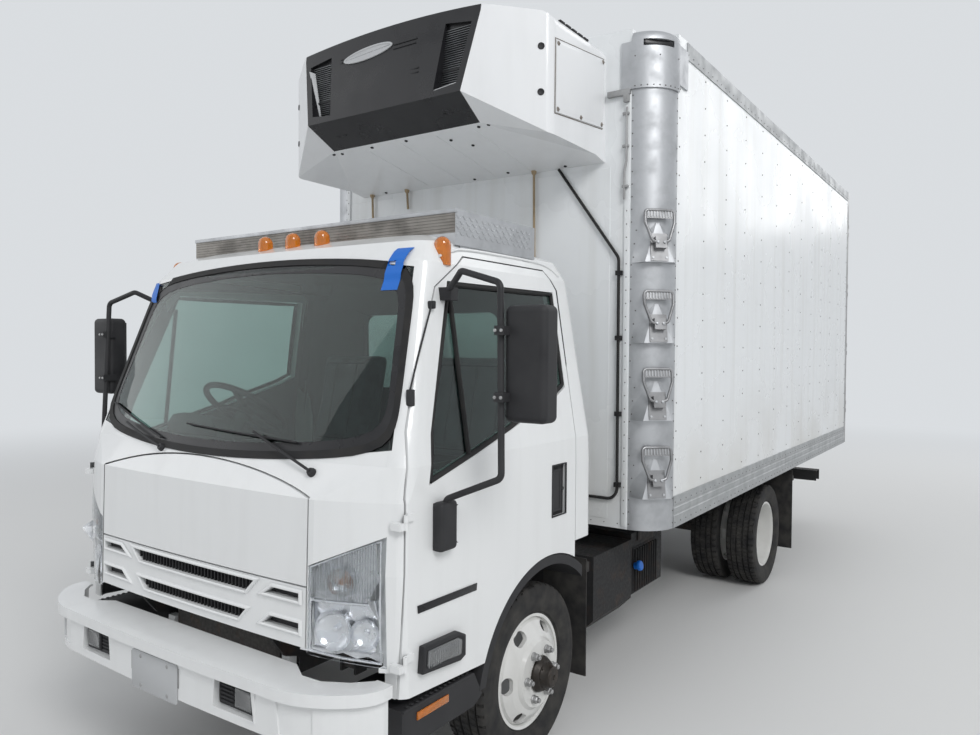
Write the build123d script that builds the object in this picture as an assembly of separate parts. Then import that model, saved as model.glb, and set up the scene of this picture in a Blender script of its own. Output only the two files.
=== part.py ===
from build123d import *
from math import atan2, degrees
import os

os.makedirs("parts", exist_ok=True)

# A cab-over refrigerated truck. X points to the truck's left, Y to its rear, Z up, in millimetres.
# Every piece is laid out with the front axle at Y = 0, and moved to the middle of the truck when written.

# Places along the truck, from the front axle
WHEELBASE = 3366
FRONT_OVERHANG = 1295
CARGO_FRONT = 775
CARGO_LENGTH = 5093
REAR_STEP_DEPTH = 140
REAR_STEP_HALF = 940
TAIL_LAMPS = (700, 860)
TAIL_LAMP_RADIUS = 40
TAIL_LAMP_Z = 525

# Wheels and tyres
TYRE_RADIUS = 396
TYRE_WIDTH = 225
TYRE_SEAT = 0.3
RIM_SEAT_RADIUS = 248
RIM_FLANGE_RADIUS = 260.5
RIM_WIDTH = 174
RIM_BARREL = 10
DISC_OFFSET = 130
DISC_THICKNESS = 12
HUB_PILOT = 82
HUB_FLANGE = 138
HUB_BACK = 30
HAND_HOLES = 6
HAND_HOLE_CIRCLE = 205
HAND_HOLE_LENGTH = 78
HAND_HOLE_WIDTH = 46
FRONT_TRACK_HALF = 825
REAR_TRACK_HALF = 833
DRUM_RADIUS = 205

# Axles and steering
SPINDLE_RADIUS = 32
REAR_SPINDLE_RADIUS = 42
RUNNING_FIT = 0.05
KINGPIN_X = 690
KINGPIN_RADIUS = 17
KINGPIN_BOSS_RADIUS = 36
KINGPIN_BOSS_HEIGHT = 96
KNUCKLE_GAP = 5
KNUCKLE_ARM = 34
STEERING_ARM_WIDTH = 36
AXLE_TUBE_RADIUS = 58
SPRING_X = 390
SPRING_WIDTH = 70
SPRING_THICKNESS = 40
SPRING_EYE_RADIUS = 22
SPRING_HALF_LENGTH = 600
FRONT_SPRING_SEAT = 372
FRONT_EYE_Z = 505
REAR_SPRING_SEAT = 470
REAR_EYE_Z = 540
AXLE_BEAM_DEPTH = 86
SEAT_GAP = 0.3

# Ladder frame
RAIL_HALF = 425.5
RAIL_TOP = 800
RAIL_HEIGHT = 215
RAIL_FLANGE = 68
RAIL_WALL = 8
RAIL_FRONT = -930
RAIL_REAR_INSET = 60
CROSS_MEMBERS = (-860, 690, 1560, 2560, 4230, 5020, 5700)
CROSS_MEMBER_WIDTH = 60
HITCH_SPACING_X = 85.7
HITCH_SPACING_Z = 44.5
HITCH_HOLE_RADIUS = 6.8
GEARBOX_FRONT = 330
GEARBOX_REAR = 990
SHAFT_Z = 505
PINION_NOSE = 310
RADIATOR_FRONT = -960
CAB_PIVOT_Y = -1040
CAB_PIVOT_Z = 790
PIVOT_RADIUS = 22

# Cargo box
CARGO_HALF = 1219
CARGO_BOTTOM = 915
CARGO_TOP = 3540
ROOF_CROWN = 30
WALL = 75
FLOOR_BOTTOM = 1000
FLOOR_THICKNESS = 90
CORNER_RADIUS = 182
COLUMN_TOP = 3220
CAP_PROUD = 10
CAP_FRONT_LAP = 58
CAP_LAP = 120
CAP_FOOT = 12
CAP_SLOT_DEPTH = 75
RAIL_BAND = 170
TOP_RAIL_BAND = 85
RAIL_PROUD = 5
STEP_LEDGES = (1090, 1500, 1905, 2325)
COVER_OUT = 215
COVER_HALF = 80
COVER_TIP_OUT = 184
COVER_HEIGHT = 206
STEP_LOOP_WIDTH = 174
STEP_LOOP_HEIGHT = 188
STEP_LOOP_RADIUS = 8
STEP_LOOP_LOW = 88
STEP_LOOP_OUT = 29
REAR_POST = 110
REAR_HEADER = 150
REAR_SILL = 170
REAR_FRAME_DEPTH = 90
DOOR_LEAF = 70
DOOR_GAP = 6
HINGE_RADIUS = 9
HINGE_BACK = 24
HINGE_HEIGHTS = (1290, 1900, 2520, 3150)
LOCK_ROD_RADIUS = 13
LOCK_ROD_BACK = 26

# Front bumper
BUMPER_HALF = 1000
BUMPER_END = -1030
BUMPER_LOW = 530
BUMPER_TOP = 720
BUMPER_LIP = 44
BUMPER_LIP_PROUD = 20
BUMPER_SHEET = 12
BUMPER_SHELF_REAR = ((600, -1100), (690, -1155), (780, -1150), (870, -1100), (930, -1040))

# Cab
CAB_SIDE_WALL = 48
CAB_NOSE_WALL = 105
CAB_PILLAR_WALL = 45
CAB_BACK_WALL = 40
CAB_ROOF_WALL = 40
SEAM = 6.5
GLASS = 6
GLASS_INSET = 3
DOOR_THICKNESS = 58
DOOR_LIMIT_X = 600
DOOR_HINGES = (780, 1270)
DOOR_HINGE_X = 1020
DOOR_HINGE_Y = -988
DOOR_PIN_RADIUS = 4
ARCH_RADIUS = 545
ARCH_LIP = 42
FACE_BOTTOM = 800
CORNER_BOTTOM = 640
NOSE_CORNER_BOTTOM = 742
DOOR_FRONT = -985
FLANK_BOTTOM = 960
CAB_FLOOR_BOTTOM = 858
CAB_FLOOR_SHEET = 30
DECK_TOP = 1120
TUNNEL_HALF = 450
LID_HALF = 668
LID_BOTTOM = 1020
LID_DEPTH = 46
LID_PADS = ((-560, 1060), (560, 1060), (-240, 1370), (240, 1370))
LAMP_INNER = 678
LAMP_OUTER = 955
LAMP_DEPTH = 70
LAMP_BACK = -1000
MARKER_LAMPS = ((-866, 2272), (-190, 2352), (0, 2354), (190, 2352), (866, 2272))
STEERING_X = -410
STEERING_Y = -540
STEERING_Z = 1560
STEERING_COLUMN = 380
STEERING_HUB_LOW = 32

# Cab outline at rising heights. A front corner runs back from the nose along a long swept face to a knee,
# and round the knee into the flank. Its columns: width and depth of the corner, the knee's place in from the
# flank and back from the nose, and the swept face's swell as a share of its length.
# z, front y, bow of the front, half width, corner width, corner depth, knee in, knee back, swell, rear y, rear corner
CAB_LEVELS = (
    (620, -1140, 14, 1010, 310, 171, 40, 131, 0.03, 415, 45),
    (1080, -1132, 16, 1010, 310, 150, 20, 114, 0.03, 415, 45),
    (1330, -1128, 18, 1010, 310, 150, 35, 115, 0.03, 415, 45),
    (1450, -1076, 92, 1008, 85, 85, 25, 25, 0.1, 415, 50),
    (2200, -765, 28, 888, 78, 78, 23, 23, 0.1, 395, 70),
    (2290, -700, 30, 845, 95, 95, 28, 28, 0.1, 370, 90),
    (2335, -570, 26, 740, 110, 110, 32, 32, 0.1, 280, 110),
)

# Tanks
TANK_RADIUS = 234

# Refrigeration unit
UNIT_HALF = 885
UNIT_FACE_HALF = 603
UNIT_CHIN_HALF = 525
UNIT_SEAM_HALF = 506
UNIT_FRONT = -40
UNIT_LEAN = 55
UNIT_FLANK_Y = 215
UNIT_TOP = 3475
UNIT_CROWN = 60
UNIT_FACE_BOTTOM = 3092
UNIT_CHIN_Z = 2990
UNIT_CHIN_Y = 145
UNIT_BOTTOM = 2870
UNIT_SIDE_Z = 2895
UNIT_FACE_DEPTH = 72
HOSE_RADIUS = 8
HOSE_OFF = 15
HOSE_BEND = 60
HOSE_FOOT_X = 392
HOSE_CLIPS = ((980, 2275), (981, 1931), (982, 1528), (983, 1150), (720, 1072))

CARGO_REAR = CARGO_FRONT + CARGO_LENGTH
OVERALL = FRONT_OVERHANG + CARGO_REAR + REAR_STEP_DEPTH
TO_MIDDLE = Location((0, FRONT_OVERHANG - OVERALL / 2, 0))
AXLE_Z = TYRE_RADIUS
RAIL_BOTTOM = RAIL_TOP - RAIL_HEIGHT
REAR_INNER_X = REAR_TRACK_HALF - DISC_THICKNESS - DISC_OFFSET
REAR_OUTER_X = REAR_TRACK_HALF + DISC_THICKNESS + DISC_OFFSET
FLOOR_TOP = FLOOR_BOTTOM + FLOOR_THICKNESS
CEILING = CARGO_TOP - WALL
DOOR_LOW = CARGO_BOTTOM + REAR_SILL + DOOR_GAP
DOOR_HIGH = CARGO_TOP - REAR_HEADER - DOOR_GAP
DOOR_OUTER = CARGO_HALF - REAR_POST - DOOR_GAP


def block(x0, x1, y0, y1, z0, z1):
    """A box between two corners."""
    middle = Pos((x0 + x1) / 2, (y0 + y1) / 2, (z0 + z1) / 2)
    return middle * Box(abs(x1 - x0), abs(y1 - y0), abs(z1 - z0))


def rod(x, y, z, radius, length, axis):
    """A round bar centred on a point, along x, y or z."""
    turn = {"x": Rot(0, 90, 0), "y": Rot(90, 0, 0), "z": Rot(0, 0, 0)}[axis]
    return Pos(x, y, z) * turn * Cylinder(radius, length)


def outline(points, radius=0):
    """A closed flat face through points, its corners rounded where a radius is given."""
    if radius:
        return make_face(FilletPolyline(*points, radius=radius, close=True))
    return make_face(Polyline(*points, close=True))


def along_x(face, x0, x1):
    """A face drawn in (y, z), stretched from x0 to x1."""
    return extrude(Plane(origin=(x0, 0, 0), x_dir=(0, 1, 0), z_dir=(1, 0, 0)) * face, amount=x1 - x0)


def along_y(face, y0, y1):
    """A face drawn in (x, z), stretched from y0 to y1."""
    return extrude(Plane(origin=(0, y1, 0), x_dir=(1, 0, 0), z_dir=(0, -1, 0)) * face, amount=y1 - y0)


def along_z(face, z0, z1):
    """A face drawn in (x, y), stretched from z0 to z1."""
    return extrude(Pos(0, 0, z0) * face, amount=z1 - z0)


def lathe_x(face):
    """A face drawn in (x, radius), turned round the X axis."""
    return revolve(face, axis=Axis.X)


def other_side(shape):
    return mirror(shape, about=Plane.YZ)


def together(*shapes):
    """The solids of one node, which don't touch each other."""
    return Compound([solid for shape in shapes for solid in shape.solids()])


def both(shape):
    """A shape and its twin on the other side of the truck."""
    return together(shape, other_side(shape))


def tube(points, radius, bends):
    """A round tube along straight runs joined by arcs."""
    path = FilletPolyline(*points, radius=bends)
    return sweep(Plane(origin=path @ 0, z_dir=path % 0) * Circle(radius), path=path)


# Wheels


def tyre():
    """A road tyre with bulged sidewalls, its centre plane at x = 0."""
    bead = RIM_SEAT_RADIUS + TYRE_SEAT
    lip = RIM_FLANGE_RADIUS + TYRE_SEAT
    seat = RIM_WIDTH / 2 - 15
    bulge = TYRE_WIDTH / 2
    shoulder = bulge - 16
    crown = TYRE_RADIUS - 12
    waist = (bead + TYRE_RADIUS) / 2
    return lathe_x(make_face([
        Line((-seat, bead), (seat, bead)),
        Line((seat, bead), (seat, lip)),
        Line((seat, lip), (RIM_WIDTH / 2, lip)),
        ThreePointArc((RIM_WIDTH / 2, lip), (bulge, waist), (shoulder, crown)),
        ThreePointArc((shoulder, crown), (0, TYRE_RADIUS), (-shoulder, crown)),
        ThreePointArc((-shoulder, crown), (-bulge, waist), (-RIM_WIDTH / 2, lip)),
        Line((-RIM_WIDTH / 2, lip), (-seat, lip)),
        Line((-seat, lip), (-seat, bead)),
    ]))


def rim():
    """A steel disc wheel, its centre plane at x = 0 and its disc bulging towards +X."""
    half = RIM_WIDTH / 2
    inner = RIM_SEAT_RADIUS - RIM_BARREL
    face = DISC_OFFSET + DISC_THICKNESS
    barrel = outline([
        (-half, inner + 4),
        (-half, RIM_FLANGE_RADIUS),
        (-half + 11, RIM_FLANGE_RADIUS),
        (-half + 14, RIM_SEAT_RADIUS),
        (half - 14, RIM_SEAT_RADIUS),
        (half - 11, RIM_FLANGE_RADIUS),
        (half, RIM_FLANGE_RADIUS),
        (half, inner + 4),
        (half - 20, inner),
        (-half + 20, inner),
    ])
    disc = outline([
        (42, inner + 2),
        (64, inner + 2),
        (90, 226),
        (114, 190),
        (face - 16, 160),
        (face, 146),
        (face, HUB_PILOT),
        (DISC_OFFSET, HUB_PILOT),
        (DISC_OFFSET, 140),
        (face - 32, 153),
        (98, 182),
        (74, 214),
    ])
    wheel = lathe_x(barrel) + lathe_x(disc)
    side = Plane(origin=(40, 0, 0), x_dir=(0, 1, 0), z_dir=(1, 0, 0))
    window = extrude(side * SlotOverall(HAND_HOLE_LENGTH, HAND_HOLE_WIDTH), amount=DISC_OFFSET)
    for number in range(HAND_HOLES):
        wheel -= Rot(360 * (number + 0.5) / HAND_HOLES, 0, 0) * Pos(0, 0, HAND_HOLE_CIRCLE) * window
    return wheel


def hub(bore, cap_radius, cap_length):
    """A wheel hub that fills the disc's pilot hole, with a flange behind the disc."""
    tip = DISC_OFFSET + cap_length
    return lathe_x(outline([
        (-HUB_BACK, bore),
        (-HUB_BACK, 62),
        (DISC_OFFSET - 22, 74),
        (DISC_OFFSET - 16, HUB_FLANGE),
        (DISC_OFFSET, HUB_FLANGE),
        (DISC_OFFSET, HUB_PILOT),
        (DISC_OFFSET + 26, HUB_PILOT - 6),
        (DISC_OFFSET + 30, cap_radius),
        (tip, cap_radius - 4),
        (tip, 0),
        (tip - 12, 0),
        (tip - 12, bore),
    ]))


def drum():
    """A brake drum, open inboard, fixed behind the hub's flange."""
    back = DISC_OFFSET - 16
    return lathe_x(outline([
        (-HUB_BACK, DRUM_RADIUS),
        (back - 18, DRUM_RADIUS),
        (back, DRUM_RADIUS - 18),
        (back, 80),
        (back - 12, 80),
        (back - 12, DRUM_RADIUS - 30),
        (back - 26, DRUM_RADIUS - 16),
        (-HUB_BACK, DRUM_RADIUS - 16),
    ]))


def front_rim():
    return rim() + hub(SPINDLE_RADIUS + RUNNING_FIT, 46, 78)


def rear_rims():
    """Twin discs bolted back to back on one hub and drum, placed for the left side."""
    outer = Pos(REAR_OUTER_X, 0, 0) * Rot(0, 0, 180) * rim()
    carrier = hub(REAR_SPINDLE_RADIUS + RUNNING_FIT, 66, 96) + drum()
    return Pos(REAR_INNER_X, 0, 0) * (rim() + carrier) + outer


# Axles, springs and steering


def knuckle():
    """The left steering knuckle: a forked yoke with its kingpin, spindle and steering arm."""
    ear = KINGPIN_BOSS_HEIGHT / 2 + KNUCKLE_GAP
    web = KINGPIN_X + KINGPIN_BOSS_RADIUS + KNUCKLE_GAP
    radius = KINGPIN_BOSS_RADIUS
    shape = block(web, web + 26, -46, 46, AXLE_Z - ear - KNUCKLE_ARM, AXLE_Z + ear + KNUCKLE_ARM)
    for low in (AXLE_Z + ear, AXLE_Z - ear - KNUCKLE_ARM):
        shape += block(KINGPIN_X, web + 10, -radius, radius, low, low + KNUCKLE_ARM)
        shape += rod(KINGPIN_X, 0, low + KNUCKLE_ARM / 2, radius, KNUCKLE_ARM, "z")
    shape += rod(KINGPIN_X, 0, AXLE_Z, KINGPIN_RADIUS, 2 * ear + KNUCKLE_ARM, "z")
    tip = FRONT_TRACK_HALF + DISC_OFFSET + 60
    shape += rod((web + tip) / 2, 0, AXLE_Z, SPINDLE_RADIUS, tip - web, "x")
    low = AXLE_Z - ear - KNUCKLE_ARM
    shape += block(KINGPIN_X - STEERING_ARM_WIDTH / 2, KINGPIN_X + STEERING_ARM_WIDTH / 2, radius - 12, 180, low, low + 22)
    return shape


def front_axle():
    """A dropped I-beam between the kingpin bosses, with pads under the springs."""
    low = AXLE_Z - KINGPIN_BOSS_HEIGHT / 2
    high = AXLE_Z + KINGPIN_BOSS_HEIGHT / 2
    seat = FRONT_SPRING_SEAT - SEAT_GAP
    base = seat - AXLE_BEAM_DEPTH
    half = along_y(outline([
        (0, base),
        (SPRING_X + 90, base),
        (KINGPIN_X, low + 10),
        (KINGPIN_X, high - 10),
        (SPRING_X + 120, seat),
        (SPRING_X - 50, seat),
        (SPRING_X - 60, seat - 12),
        (0, seat - 12),
    ]), -36, 36)
    pocket = outline([
        (40, base + 16),
        (SPRING_X + 70, base + 16),
        (SPRING_X + 60, seat - 28),
        (40, seat - 28),
    ])
    half -= along_y(pocket, -36, -20) + along_y(pocket, 20, 36)
    shape = half + other_side(half)
    for x in (-KINGPIN_X, KINGPIN_X):
        shape += rod(x, 0, AXLE_Z, KINGPIN_BOSS_RADIUS, KINGPIN_BOSS_HEIGHT, "z")
        shape -= rod(x, 0, AXLE_Z, KINGPIN_RADIUS + RUNNING_FIT, 2 * KINGPIN_BOSS_HEIGHT, "z")
    return shape


def rear_axle():
    """A banjo housing with its differential, spring pads, backing plates and stub spindles."""
    plate = REAR_INNER_X - HUB_BACK - KNUCKLE_GAP
    shape = rod(0, WHEELBASE, AXLE_Z, AXLE_TUBE_RADIUS, 2 * plate, "x")
    shape += Pos(0, WHEELBASE, AXLE_Z) * Sphere(178)
    shape += rod(0, WHEELBASE - PINION_NOSE / 2, AXLE_Z + 10, 78, PINION_NOSE, "y")
    spindle = REAR_INNER_X + DISC_OFFSET + 80
    for side in (-1, 1):
        shape += rod(side * (plate - 6), WHEELBASE, AXLE_Z, DRUM_RADIUS, 12, "x")
        shape += rod(side * (plate + spindle) / 2, WHEELBASE, AXLE_Z, REAR_SPINDLE_RADIUS, spindle - plate, "x")
        pad = REAR_SPRING_SEAT - SEAT_GAP
        x = side * SPRING_X
        shape += block(x - 50, x + 50, WHEELBASE - 70, WHEELBASE + 70, AXLE_Z, pad)
    return shape


def leaf_spring(axle_y, seat, eye):
    """One leaf pack of the left side, bowed between its two eyes."""
    front = axle_y - SPRING_HALF_LENGTH
    rear = axle_y + SPRING_HALF_LENGTH
    tip = SPRING_THICKNESS / 2
    lower = ThreePointArc((front, eye - tip / 2), (axle_y, seat), (rear, eye - tip / 2))
    upper = ThreePointArc((rear, eye + tip / 2), (axle_y, seat + SPRING_THICKNESS), (front, eye + tip / 2))
    face = make_face([lower, Line(lower @ 1, upper @ 0), upper, Line(upper @ 1, lower @ 0)])
    shape = along_x(face, SPRING_X - SPRING_WIDTH / 2, SPRING_X + SPRING_WIDTH / 2)
    for y in (front, rear):
        shape += rod(SPRING_X, y, eye, SPRING_EYE_RADIUS, SPRING_WIDTH, "x")
    return shape


def spring_hanger(y, eye):
    """A bracket under the left rail that holds a spring's eye between two cheeks."""
    half = SPRING_WIDTH / 2
    shape = block(SPRING_X - half - 12, SPRING_X + half + 12, y - 34, y + 34, eye - 30, RAIL_BOTTOM + 1)
    top = eye + SPRING_EYE_RADIUS + SEAT_GAP
    slot = block(SPRING_X - half - SEAT_GAP, SPRING_X + half + SEAT_GAP, y - 40, y + 40, eye - 40, top)
    return shape - slot


def frame_rail():
    """The left side rail, a channel open inwards, with its spring hangers and the cab pivot's arm."""
    rear = CARGO_REAR - RAIL_REAR_INSET
    shape = block(RAIL_HALF - RAIL_FLANGE, RAIL_HALF, RAIL_FRONT, rear, RAIL_BOTTOM, RAIL_TOP)
    shape -= block(
        RAIL_HALF - RAIL_FLANGE - 1,
        RAIL_HALF - RAIL_WALL,
        RAIL_FRONT - 1,
        rear + 1,
        RAIL_BOTTOM + RAIL_WALL,
        RAIL_TOP - RAIL_WALL,
    )
    for axle_y, eye in ((0, FRONT_EYE_Z), (WHEELBASE, REAR_EYE_Z)):
        for y in (axle_y - SPRING_HALF_LENGTH, axle_y + SPRING_HALF_LENGTH):
            shape += spring_hanger(y, eye)
    arm = outline([
        (CAB_PIVOT_Y - 32, CAB_PIVOT_Z - 32),
        (CAB_PIVOT_Y + 30, CAB_PIVOT_Z - 110),
        (RAIL_FRONT + 160, RAIL_BOTTOM + 20),
        (RAIL_FRONT + 160, RAIL_TOP - 20),
        (CAB_PIVOT_Y + 60, CAB_PIVOT_Z + 32),
        (CAB_PIVOT_Y - 32, CAB_PIVOT_Z + 32),
    ])
    shape += along_x(arm, RAIL_HALF - RAIL_WALL, RAIL_HALF + 10)
    pin_end = RAIL_HALF + 76
    shape += rod((RAIL_HALF + pin_end) / 2, CAB_PIVOT_Y, CAB_PIVOT_Z, PIVOT_RADIUS, pin_end - RAIL_HALF, "x")
    return shape


def cross_members():
    """Channels between the rails, one solid each."""
    half = RAIL_HALF - RAIL_WALL - SEAT_GAP
    low = RAIL_BOTTOM + RAIL_WALL + 30
    high = RAIL_TOP - RAIL_WALL - SEAT_GAP
    members = []
    for y in CROSS_MEMBERS:
        front = y - CROSS_MEMBER_WIDTH / 2
        rear = y + CROSS_MEMBER_WIDTH / 2
        member = block(-half, half, front, rear, low, high)
        member -= block(-half - 1, half + 1, front + RAIL_WALL, rear + 1, low + RAIL_WALL, high - RAIL_WALL)
        if y == CROSS_MEMBERS[-1]:
            for x in (-HITCH_SPACING_X / 2, HITCH_SPACING_X / 2):
                for z in (-HITCH_SPACING_Z / 2, HITCH_SPACING_Z / 2):
                    member -= rod(x, front, (low + high) / 2 + z, HITCH_HOLE_RADIUS, 40, "y")
        members.append(member)
    return together(*members)


def engine():
    """The engine as one plain block, with its gearbox, and the radiator ahead of it."""
    engine_block = block(-280, 280, -400, GEARBOX_FRONT, 440, 1020)
    engine_block -= block(-281, 281, -401, GEARBOX_FRONT + 1, 400, FRONT_SPRING_SEAT + 40)
    gearbox = block(-170, 170, GEARBOX_FRONT, GEARBOX_REAR, SHAFT_Z - 120, RAIL_BOTTOM + RAIL_WALL)
    low = RAIL_BOTTOM - 100
    radiator = block(-340, 340, RADIATOR_FRONT, RADIATOR_FRONT + 70, low, 1040)
    return together(engine_block + gearbox, radiator)


def propshaft():
    """The shaft from the gearbox to the differential."""
    first = GEARBOX_REAR + SEAT_GAP
    last = WHEELBASE - PINION_NOSE - SEAT_GAP
    start = Vector(0, first - 20, SHAFT_Z)
    end = Vector(0, last + 20, AXLE_Z + 10)
    along = Plane(origin=start, z_dir=end - start)
    shaft = extrude(along * Circle(45), amount=(end - start).length)
    return shaft & block(-60, 60, first, last, 200, 800)


# Front bumper


def bumper_plan(inset):
    """The bumper's outline from above, held back by an inset."""
    front = -FRONT_OVERHANG + inset
    half = BUMPER_HALF - inset
    start = Vector(640 - inset * 0.4, front + 14)
    knee = Vector(half - 72, front + 118)
    end = Vector(half, front + 225)
    left = [
        ThreePointArc(*swept(start, knee, 0.1)),
        ThreePointArc(*swept(knee, end, 0.1)),
        Line(end, (half, BUMPER_END)),
    ]
    right = [other_way(edge) for edge in left]
    nose_edge = ThreePointArc((-start.X, start.Y), (0, front), start)
    return make_face([nose_edge, *left, Line((half, BUMPER_END), (-half, BUMPER_END)), *reversed(right)])


def bumper():
    """A deep wrap-round steel bumper: a broad shelf on top, and lamp pockets and end panels in its face."""
    low = BUMPER_LOW
    high = BUMPER_TOP
    under_lip = high - BUMPER_LIP
    inner = BUMPER_LIP_PROUD + BUMPER_SHEET
    shell = along_z(bumper_plan(0), low, high)
    face = along_z(bumper_plan(BUMPER_LIP_PROUD), low - 5, under_lip)
    shell -= along_z(bumper_plan(0), low - 1, under_lip) - face
    shell -= along_z(bumper_plan(inner), low - 6, high - BUMPER_SHEET)
    edge = [*BUMPER_SHELF_REAR, (BUMPER_SHELF_REAR[-1][0], BUMPER_END + 5)]
    behind = outline([*edge, *((-x, y) for x, y in reversed(edge))])
    shell -= along_z(behind, high - BUMPER_SHEET - 1, high + 1)
    face_y = -FRONT_OVERHANG + BUMPER_LIP_PROUD
    pocket = outline([(345, low + 34), (568, low + 34), (552, under_lip - 4), (356, under_lip - 4)])
    pocket = along_y(pocket, face_y - 30, face_y + 35)
    panel = outline([(690, low + 22), (815, low + 22), (815, under_lip - 14), (676, under_lip - 14)])
    panel = along_y(panel, face_y - 30, BUMPER_END) - along_z(bumper_plan(BUMPER_LIP_PROUD + 6), low - 5, high)
    tub = block(339, 574, face_y + 8, face_y + 41, low + 28, under_lip + 2)
    stay = block(360, 405, face_y + 25, RAIL_FRONT - SEAT_GAP, low + 60, low + 130)
    stay -= block(350, 410, CAB_PIVOT_Y - 75, CAB_PIVOT_Y + 75, low + 100, low + 140)
    return shell + both(tub) - both(pocket) - both(panel) + both(stay - pocket)


# Cargo box


def corner_plan(inner, proud=0):
    """A quarter ring at the box's front left corner, seen from above, standing proud of the corner's radius."""
    x = CARGO_HALF - CORNER_RADIUS
    y = CARGO_FRONT + CORNER_RADIUS
    outer = CORNER_RADIUS + proud
    arc = ThreePointArc((x, y - outer), (x + outer * 0.70711, y - outer * 0.70711), (x + outer, y))
    if inner <= 0:
        return make_face([arc, Line((x + outer, y), (x, y)), Line((x, y), (x, y - outer))])
    back = ThreePointArc((x + inner, y), (x + inner * 0.70711, y - inner * 0.70711), (x, y - inner))
    return make_face([arc, Line(arc @ 1, back @ 0), back, Line(back @ 1, arc @ 0)])


def corner_place(ledge):
    """The corner column's axis at a ledge's height, turned so that +X points out of the box's corner."""
    return Pos(CARGO_HALF - CORNER_RADIUS, CARGO_FRONT + CORNER_RADIUS, ledge) * Rot(0, 0, -45)


def corner_column():
    """The left aluminium corner, with a flared cover over each step ledge that overhangs it."""
    inner = CORNER_RADIUS - WALL
    shape = along_z(corner_plan(inner), CARGO_BOTTOM, COLUMN_TOP)
    end = CORNER_RADIUS * 0.70711
    root = end - 3
    foot = outline([(0, 0), (end, -root), (COVER_OUT, -COVER_HALF), (COVER_OUT, COVER_HALF), (end, root)])
    tip = COVER_TIP_OUT
    top = outline([(0, 0), (end, -root), (tip, -8), (tip, 8), (end, root)])
    cover = loft([foot, Pos(0, 0, COVER_HEIGHT) * top], ruled=True)
    cover -= Cylinder(CORNER_RADIUS - 30, 3 * COVER_HEIGHT)
    for ledge in STEP_LEDGES:
        shape += corner_place(ledge) * cover
    return shape


def corner_cap():
    """The cast cap over the left corner: it laps over both walls and the roof's edge, and has a lamp slot."""
    x = CARGO_HALF - CORNER_RADIUS
    y = CARGO_FRONT + CORNER_RADIUS
    top = CARGO_TOP
    low = COLUMN_TOP + CAP_FOOT
    crown = along_z(corner_plan(CORNER_RADIUS - WALL, CAP_PROUD), low, top)
    crown += along_z(corner_plan(0, CAP_PROUD), top - 110, top)
    rim = [e for e in crown.edges().filter_by(GeomType.CIRCLE) if abs(e.center().Z - top) < 1]
    shape = fillet(rim, 60)
    shape += along_z(corner_plan(CORNER_RADIUS - WALL), COLUMN_TOP + SEAT_GAP, low)
    shoulder = top - 62
    shape += block(x - CAP_FRONT_LAP, x, CARGO_FRONT - CAP_PROUD, CARGO_FRONT - SEAT_GAP, low, shoulder)
    shape += block(CARGO_HALF + SEAT_GAP, CARGO_HALF + CAP_PROUD, y, y + CAP_LAP, low + 40, shoulder)
    slot = block(CORNER_RADIUS - 30, CORNER_RADIUS + 30, -85, 85, -17, 17)
    return shape - corner_place(top - CAP_SLOT_DEPTH) * slot


def step_loops():
    """Fold-up steps on the left corner: a stirrup with its tread, the knuckle it folds on and its backing plate."""
    lean = degrees(atan2(COVER_OUT - COVER_TIP_OUT, COVER_HEIGHT))
    half = STEP_LOOP_WIDTH / 2 - STEP_LOOP_RADIUS
    low = STEP_LOOP_LOW + STEP_LOOP_RADIUS
    high = low + STEP_LOOP_HEIGHT - 2 * STEP_LOOP_RADIUS
    out = STEP_LOOP_OUT
    ring = FilletPolyline(
        (out, -18, low),
        (out, -46, low + 10),
        (out, -half, low + 104),
        (out, -half, high),
        (out, half, high),
        (out, half, low + 104),
        (out, 46, low + 10),
        (out, 18, low),
        radius=20,
    )
    step = sweep(Plane(origin=ring @ 0, z_dir=ring % 0) * Circle(STEP_LOOP_RADIUS), path=ring)
    step += block(out - 2, out + 2, -half, half, high - 44, high - 2)
    step += block(SEAT_GAP, 6, -48, 48, 5, 150)
    step += block(SEAT_GAP, out + 7, -30, 30, low - 30, low + 30)
    loops = [corner_place(ledge) * Pos(COVER_OUT, 0, 0) * Rot(0, -lean, 0) * step for ledge in STEP_LEDGES]
    return together(*loops)


def cargo_floor():
    """The insulated floor on its cross bearers and two long sills over the frame rails."""
    front = CARGO_FRONT + SEAT_GAP
    rear = CARGO_REAR - REAR_FRAME_DEPTH - SEAT_GAP
    half = CARGO_HALF - WALL - SEAT_GAP
    shape = block(-half, half, CARGO_FRONT + WALL + SEAT_GAP, rear, FLOOR_BOTTOM, FLOOR_TOP)
    for number in range(13):
        y = front + 140 + number * 395
        shape += block(-half, half, y - 22, y + 22, CARGO_BOTTOM + 5, FLOOR_BOTTOM)
    plan = Pos(0, (CARGO_FRONT + CARGO_REAR) / 2) * Rectangle(2 * half, CARGO_LENGTH - 2 * (WALL + SEAT_GAP))
    shape &= along_z(fillet(plan.vertices(), CORNER_RADIUS - WALL), CARGO_BOTTOM, FLOOR_TOP)
    for side in (-1, 1):
        sill_front = CARGO_FRONT + WALL + SEAT_GAP
        shape += block(side * 350, side * 425, sill_front, rear, RAIL_TOP + SEAT_GAP, FLOOR_BOTTOM)
    return shape


def cargo_side():
    """The left insulated wall, from the corner column to the rear frame."""
    front = CARGO_FRONT + CORNER_RADIUS + SEAT_GAP
    rear = CARGO_REAR - REAR_FRAME_DEPTH - SEAT_GAP
    return block(CARGO_HALF - WALL, CARGO_HALF, front, rear, CARGO_BOTTOM, CARGO_TOP - TOP_RAIL_BAND - SEAT_GAP)


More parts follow.
